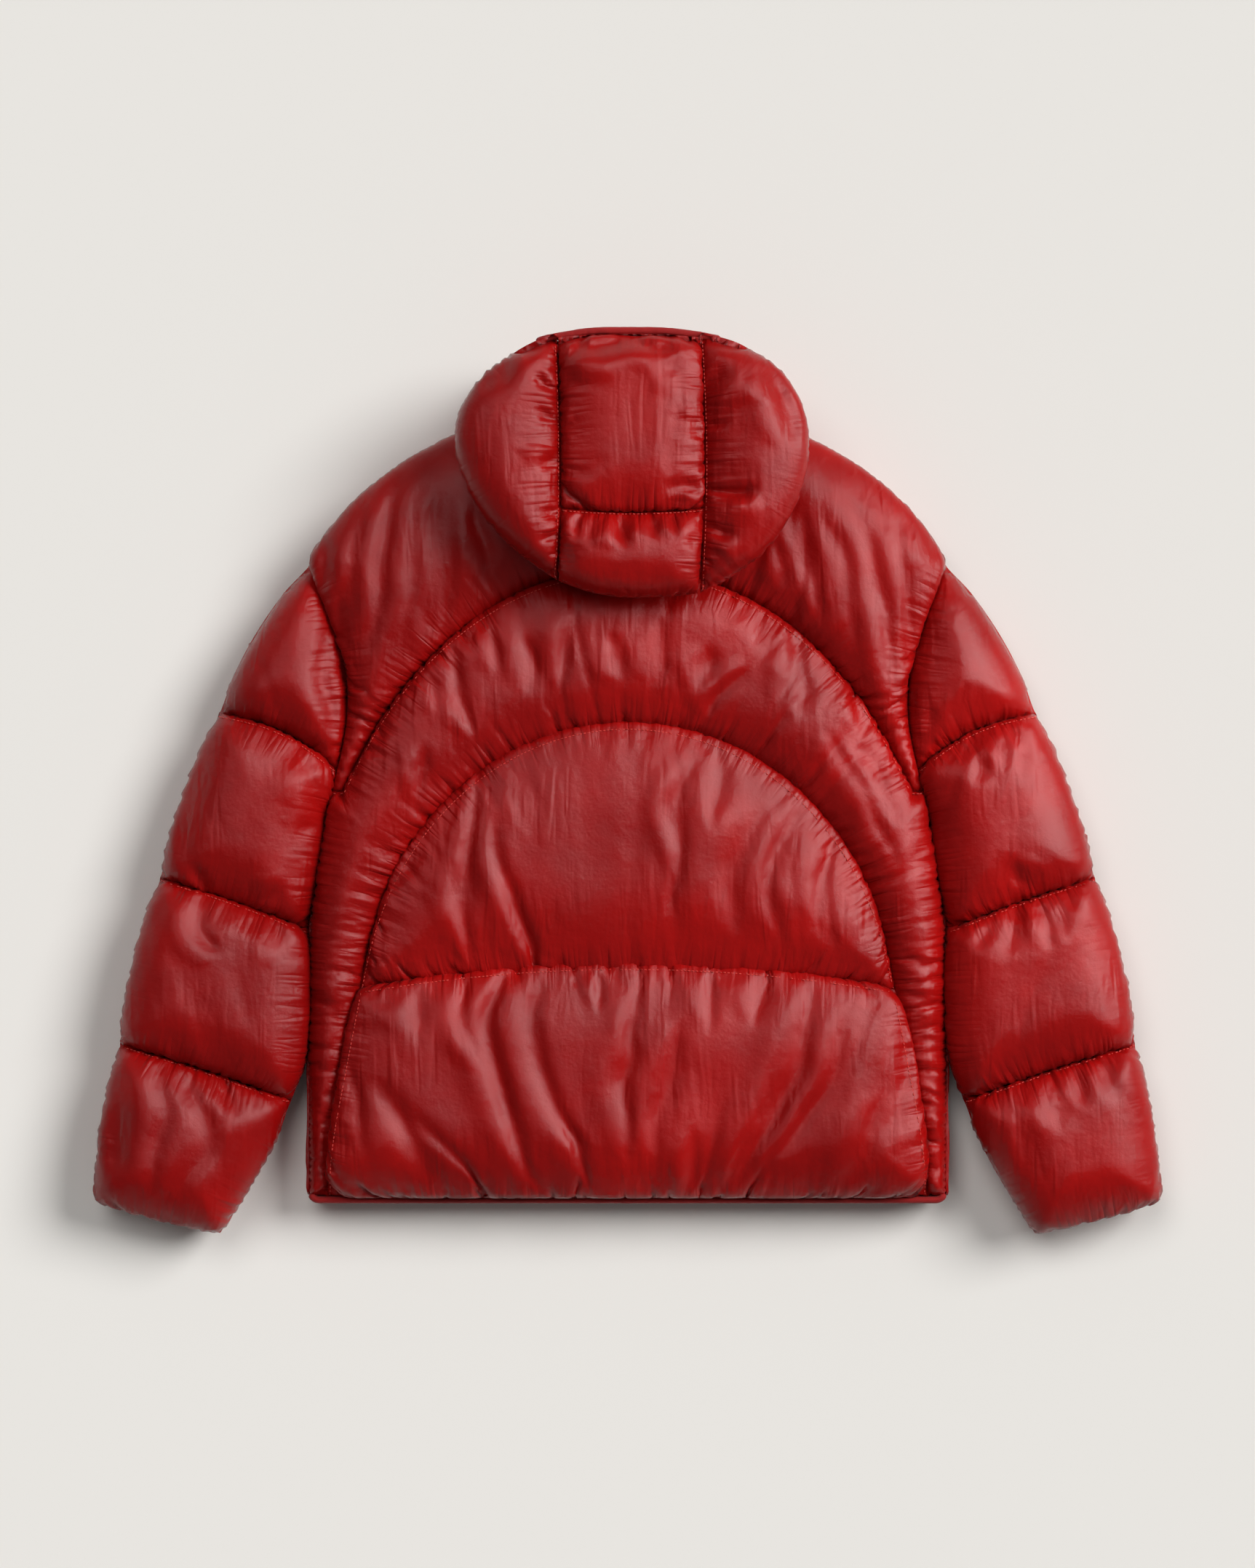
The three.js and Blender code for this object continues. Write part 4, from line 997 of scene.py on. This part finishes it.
def sweep(path, ry, rz, sides=14, ribs=0.0, pitch=3.2):
    """A flattened tube along a line: ry is its half width in plan and rz its half height. Elastic ribs run round it."""
    path = np.asarray(path, float)
    run = run_length(path)
    n = int(run[-1] / 1.1)
    at = np.linspace(0, run[-1], n)
    p = np.stack([np.interp(at, run, path[:, k]) for k in range(3)], 1)
    t = unit(np.gradient(p, axis=0))
    side = unit(np.stack([t[:, 1], -t[:, 0], np.zeros(n)], 1))
    up = np.array([0, 0, 1.0])
    end = np.minimum(at, run[-1] - at)
    taper = np.sqrt(np.clip(1 - (1 - np.clip(end / ry, 0, 1)) ** 2, 0.02, 1))
    rib = 1 + ribs * (0.5 + 0.5 * value_noise(at / pitch, 0, 71))
    a = np.linspace(0, 2 * math.pi, sides, endpoint=False)
    ca, sa = np.cos(a), np.sin(a)
    ca = np.sign(ca) * np.abs(ca) ** 0.75
    sa = np.sign(sa) * np.abs(sa) ** 0.75
    rings = (
        p[:, None]
        + side[:, None] * (ry * taper * rib)[:, None, None] * ca[None, :, None]
        + up[None, None] * (rz * taper)[:, None, None] * sa[None, :, None]
    )
    ends = [tuple(range(sides)), tuple(range((n - 1) * sides, n * sides))[::-1]]
    return rings.reshape(-1, 3), tube_faces(n, sides) + ends


def joined(parts):
    """Several forms as one."""
    verts, faces, base = [], [], 0
    for v, f in parts:
        verts.append(v)
        faces += [tuple(i + base for i in q) for q in f]
        base += len(v)
    return np.concatenate(verts), faces


def hem_band():
    """The elastic binding round the back's hem, turned up at its two corners, and its two ends at the front."""
    lo, hi = box_mm("hem_binding")
    y = (lo[1] + hi[1]) / 2
    half = hi[0] - 3.2
    turn = np.linspace(0, 1.25, 9)
    right = np.c_[half - HEM_CORNER + HEM_CORNER * np.sin(turn), y + HEM_CORNER - HEM_CORNER * np.cos(turn)]
    plan = np.concatenate([right[::-1] * [-1, 1], right])
    parts = [sweep(np.c_[plan, np.full(len(plan), 45)], 3.3, 9, ribs=0.06)]
    fold = box_mm("right_flap_hem_binding")[1][0] + 1
    for sign in (-1, 1):
        plan = np.concatenate([[(fold, y)], right]) * [sign, 1]
        parts.append(sweep(np.c_[plan, np.full(len(plan), 23)], 3.0, 5.5, ribs=0.06))
    return joined(parts)


def cuff_band(side):
    """The elastic binding round the open end of a sleeve."""
    outer, inner, u, mid_z = cuff_line(side)
    mid = (outer + inner) / 2
    v = np.array([-u[1], u[0]])
    v = v if v[1] < 0 else -v
    half_u, half_z = np.linalg.norm(inner - outer) / 2 - 4.0, 15.5
    centre = mid - v * 3.2
    rings, sides = 150, 10
    verts = []
    for i in range(rings):
        a = 2 * math.pi * i / rings
        ca, sa = math.cos(a), math.sin(a)
        pu, pz = half_u * math.copysign(abs(ca) ** 0.8, ca), half_z * math.copysign(abs(sa) ** 0.8, sa)
        nu, nz = ca / half_u, sa / half_z
        norm = math.hypot(nu, nz)
        nu, nz = nu / norm, nz / norm
        rib = 1 + 0.10 * math.sin(i * 2.1)
        for k in range(sides):
            w = 2 * math.pi * k / sides
            radial, depth = 2.6 * rib * math.cos(w), 3.9 * math.sin(w)
            xy = centre + u * (pu + nu * radial) + v * depth
            verts.append((xy[0], xy[1], mid_z + pz + nz * radial))
    return np.array(verts), tube_faces(rings, sides, shut=True)


def hood_band():
    """The flat binding round the front edge of the hood, where it shows between the two long seams."""
    lo, hi = box_mm("hood_binding")
    left = LEFT_EDGE[(LEFT_EDGE[:, 1] > 380) & (LEFT_EDGE[:, 0] > lo[0] - 22)]
    right = RIGHT_EDGE[(RIGHT_EDGE[:, 1] > 380) & (RIGHT_EDGE[:, 0] < hi[0] + 22)]
    plan = np.concatenate([left, right[::-1][1:]])
    z = (lo[2] + hi[2]) / 2 - 2 - 8 * smooth01((np.abs(plan[:, 0]) - hi[0]) / 24)
    return sweep(np.c_[plan - [0, 3.4], z], 3.4, 8.5, ribs=0.05)


def stitches(c):
    """Short threads along the seams that this chamber was sewn on last."""
    earlier = [o for o in chambers[: chambers.index(c)] if o.group == c.group]
    if not earlier:
        return None
    loop = c.loop
    owned = distance(loop, np.concatenate([o.p2[o.rim] for o in earlier]))[0] < 3.5
    t = unit(np.roll(loop, -1, 0) - np.roll(loop, 1, 0))
    line = loop + np.c_[-t[:, 1], t[:, 0]] * 2.2
    spacing, length, radius = 3.8, 2.5, 0.48
    mids, ways = [], []
    for i in range(len(loop)):
        j = (i + 1) % len(loop)
        a, b = line[i], line[j]
        span = np.linalg.norm(b - a)
        threads = max(1, int(round(span / spacing))) if owned[i] and owned[j] and 0.5 <= span <= 12 else 0
        mids += [a + (b - a) * (k + 0.5) / threads for k in range(threads)]
        ways += [(b - a) / span] * threads
    if not mids:
        return None
    half = np.array(ways) * length / 2
    mids = np.array(mids)
    tips = [mids - half, mids + half]
    starts, ends = (np.c_[p, c.pos[distance(p, c.pos[:, :2])[1], 2] + 0.3] for p in tips)
    verts, faces, sides = [], [], 5
    for a, b in zip(starts, ends):
        d = (b - a) / np.linalg.norm(b - a)
        s1 = np.cross(d, [0, 0, 1])
        s1 /= np.linalg.norm(s1)
        s2 = np.cross(s1, d)
        base = len(verts)
        for share, rad in ((0, 0.35), (0.2, 1), (0.8, 1), (1, 0.35)):
            for k in range(sides):
                w = 2 * math.pi * k / sides
                verts.append(a + (b - a) * share + (s1 * math.cos(w) + s2 * math.sin(w)) * radius * rad)
        faces += [tuple(base + i for i in f) for f in tube_faces(4, sides)]
        faces.append(tuple(range(base, base + sides))[::-1])
        faces.append(tuple(range(base + 3 * sides, base + 4 * sides)))
    return np.array(verts), faces


def follow(o, c):
    """A chamber's pieces go with the body of their part: the back's with the torso, the hood's with the hood and a
    sleeve end's with the forearm; the other sleeve pieces only have their placement baked.
    """
    side = c.group.split("_")[0]
    if side in ("back", "hood"):
        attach(o, "torso" if side == "back" else "hood")
    elif c.node.endswith("sleeve_end"):
        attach(o, f"{side}_forearm")
    else:
        bend_with_sleeve(o, c.node.endswith("sleeve_lower"))


for o, c in chamber_pieces:
    follow(o, c)
for c in chambers:
    sewn = stitches(c)
    if sewn:
        o = make(c.name + "_stitching", *sewn, THREAD)
        follow(o, c)


o = make("hood_nape", *nape(), SHELL)
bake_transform(o)


# what the other nodes' names say, with the material, the slot and the cloth's ways
LOOKS = (
    ("lining", LINING, "lining", dict(cut=14, rounds=1, wrinkle=0.25, fine=16)),
    ("binding", BINDING, "binding", dict(cut=3.2, rounds=3, swell=0.3, wrinkle=0.35, fine=3.4)),
    ("hanger_loop", BINDING, "binding", dict(cut=4, rounds=1, wrinkle=0.1, fine=3)),
    ("zip_tape", BINDING, "zip_tape", dict(cut=6, rounds=0, wrinkle=0.1, fine=6)),
    ("collar", SHELL, "shell", dict(cut=7, rounds=22, swell=5.5, wrinkle=1.6, fine=9)),
    ("seam", FRONT, "shell", dict(cut=6, rounds=2, swell=0.4, wrinkle=0.8, fine=6)),
    ("", FRONT, "shell", dict(cut=7, rounds=5, swell=1.0, wrinkle=0.9, fine=11)),
)
BODY_NODES = frame["record"]["behaviour"]["bodies"]
covered = {c.node for c in chambers}
for number, node in enumerate(sorted(frame["nodes"])):
    if node in covered:
        continue
    if node in ("zip_slider", "zip_pull"):
        for slot in frame["nodes"][node].material_slots:
            slot.material = METAL
        continue
    body = next(b for b, nodes in BODY_NODES.items() if node in nodes)
    if node in ("hem_binding", "hood_binding") or "cuff_binding" in node:
        bands = {"hem_binding": hem_band, "hood_binding": hood_band}
        form = bands[node]() if node in bands else cuff_band(node.split("_")[0])
        o = make(node + "_cloth", *form, BINDING)
        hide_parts(node)
        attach(o, body)
        continue
    key, material, slot, ways = next(look for look in LOOKS if look[0] in node)
    o = softened(node + "_cloth", node, material, slot, body, seed=900 + 7 * number, **ways)

# ------------------------------------------------------------------ camera, light and floor
scene = bpy.context.scene
scene.view_settings.view_transform = "Standard"
FRAME_HEIGHT = 1.466  # metres of the surface that the picture shows from top to bottom
LENS, SENSOR = 150, 36


def placed(name, data, location=(0, 0, 0), towards=None, axis="Z"):
    """A camera or light in the scene, with one of its axes turned towards a direction if there is one."""
    o = bpy.data.objects.new(name, data)
    o.location = location
    if towards is not None:
        o.rotation_euler = Vector(towards).to_track_quat(axis, "Y").to_euler()
    scene.collection.objects.link(o)
    return o


view = bpy.data.cameras.new("camera")
view.lens, view.sensor_width, view.clip_end = LENS, SENSOR, 50
scene.camera = placed("camera", view, (0, 0, FRAME_HEIGHT * LENS / SENSOR + 0.05))

paper = Shader("floor", **{"Base Color": srgb(232, 229, 224), "Roughness": 0.9, "Specular IOR Level": 0.1})
corners = [(-12000, -12000, 0), (12000, -12000, 0), (12000, 12000, 0), (-12000, 12000, 0)]
floor = make("floor", corners, [(0, 1, 2, 3)], paper.material, smooth=False)

# a pale backdrop far behind, seen by the camera only
glow = Shader("backdrop", **{
    "Base Color": (0, 0, 0, 1),
    "Specular IOR Level": 0,
    "Emission Color": srgb(231, 228, 223),
    "Emission Strength": 1,
})
SIDES, RADIUS = 96, 11500
ring = [(RADIUS * math.cos(a), RADIUS * math.sin(a)) for a in np.linspace(0, 2 * math.pi, SIDES, endpoint=False)]
backdrop = make(
    "backdrop",
    [(x, y, z) for z in (-10, 14000) for x, y in ring],
    [(k, (k + 1) % SIDES, SIDES + (k + 1) % SIDES, SIDES + k) for k in range(SIDES)],
    glow.material,
    smooth=False,
)
for ray in ("shadow", "diffuse", "glossy", "transmission"):
    setattr(backdrop, "visible_" + ray, False)

# the three light sources add up to one at the floor, so the floor's colour is its own
SKY, KEY, TOP = 0.15, 0.58, 0.27
world = bpy.data.worlds.new("world")
scene.world = world
world.use_nodes = True
sky = world.node_tree.nodes["Background"].inputs
sky["Color"].default_value = (1, 1, 1, 1)
sky["Strength"].default_value = SKY


def sun(name, towards, share, angle):
    """A soft distant light: share is how much of the floor's brightness it gives."""
    data = bpy.data.lights.new(name, "SUN")
    data.energy = share * math.pi / Vector(towards).normalized().z
    data.angle = math.radians(angle)
    placed(name, data, towards=towards)


sun("key", (0.70, 0.40, 0.78), KEY, 30)
sun("top", (-0.22, 0.42, 1.0), TOP, 30)

# a near soft light by the right sleeve, which lights the jacket and not the floor
lit = bpy.data.collections.new("lit_by_side_light")
for o in list(scene.collection.all_objects):
    if o.type == "MESH" and o is not floor and o is not backdrop:
        lit.objects.link(o)
side_data = bpy.data.lights.new("side", "AREA")
side_data.shape = "RECTANGLE"
side_data.size, side_data.size_y, side_data.energy = 0.5, 0.9, 10
side_place = Vector((1.05, 0.35, 0.75))
side_light = placed("side", side_data, side_place, Vector((0.2, 0, 0)) - side_place, "-Z")
side_light.light_linking.receiver_collection = lit
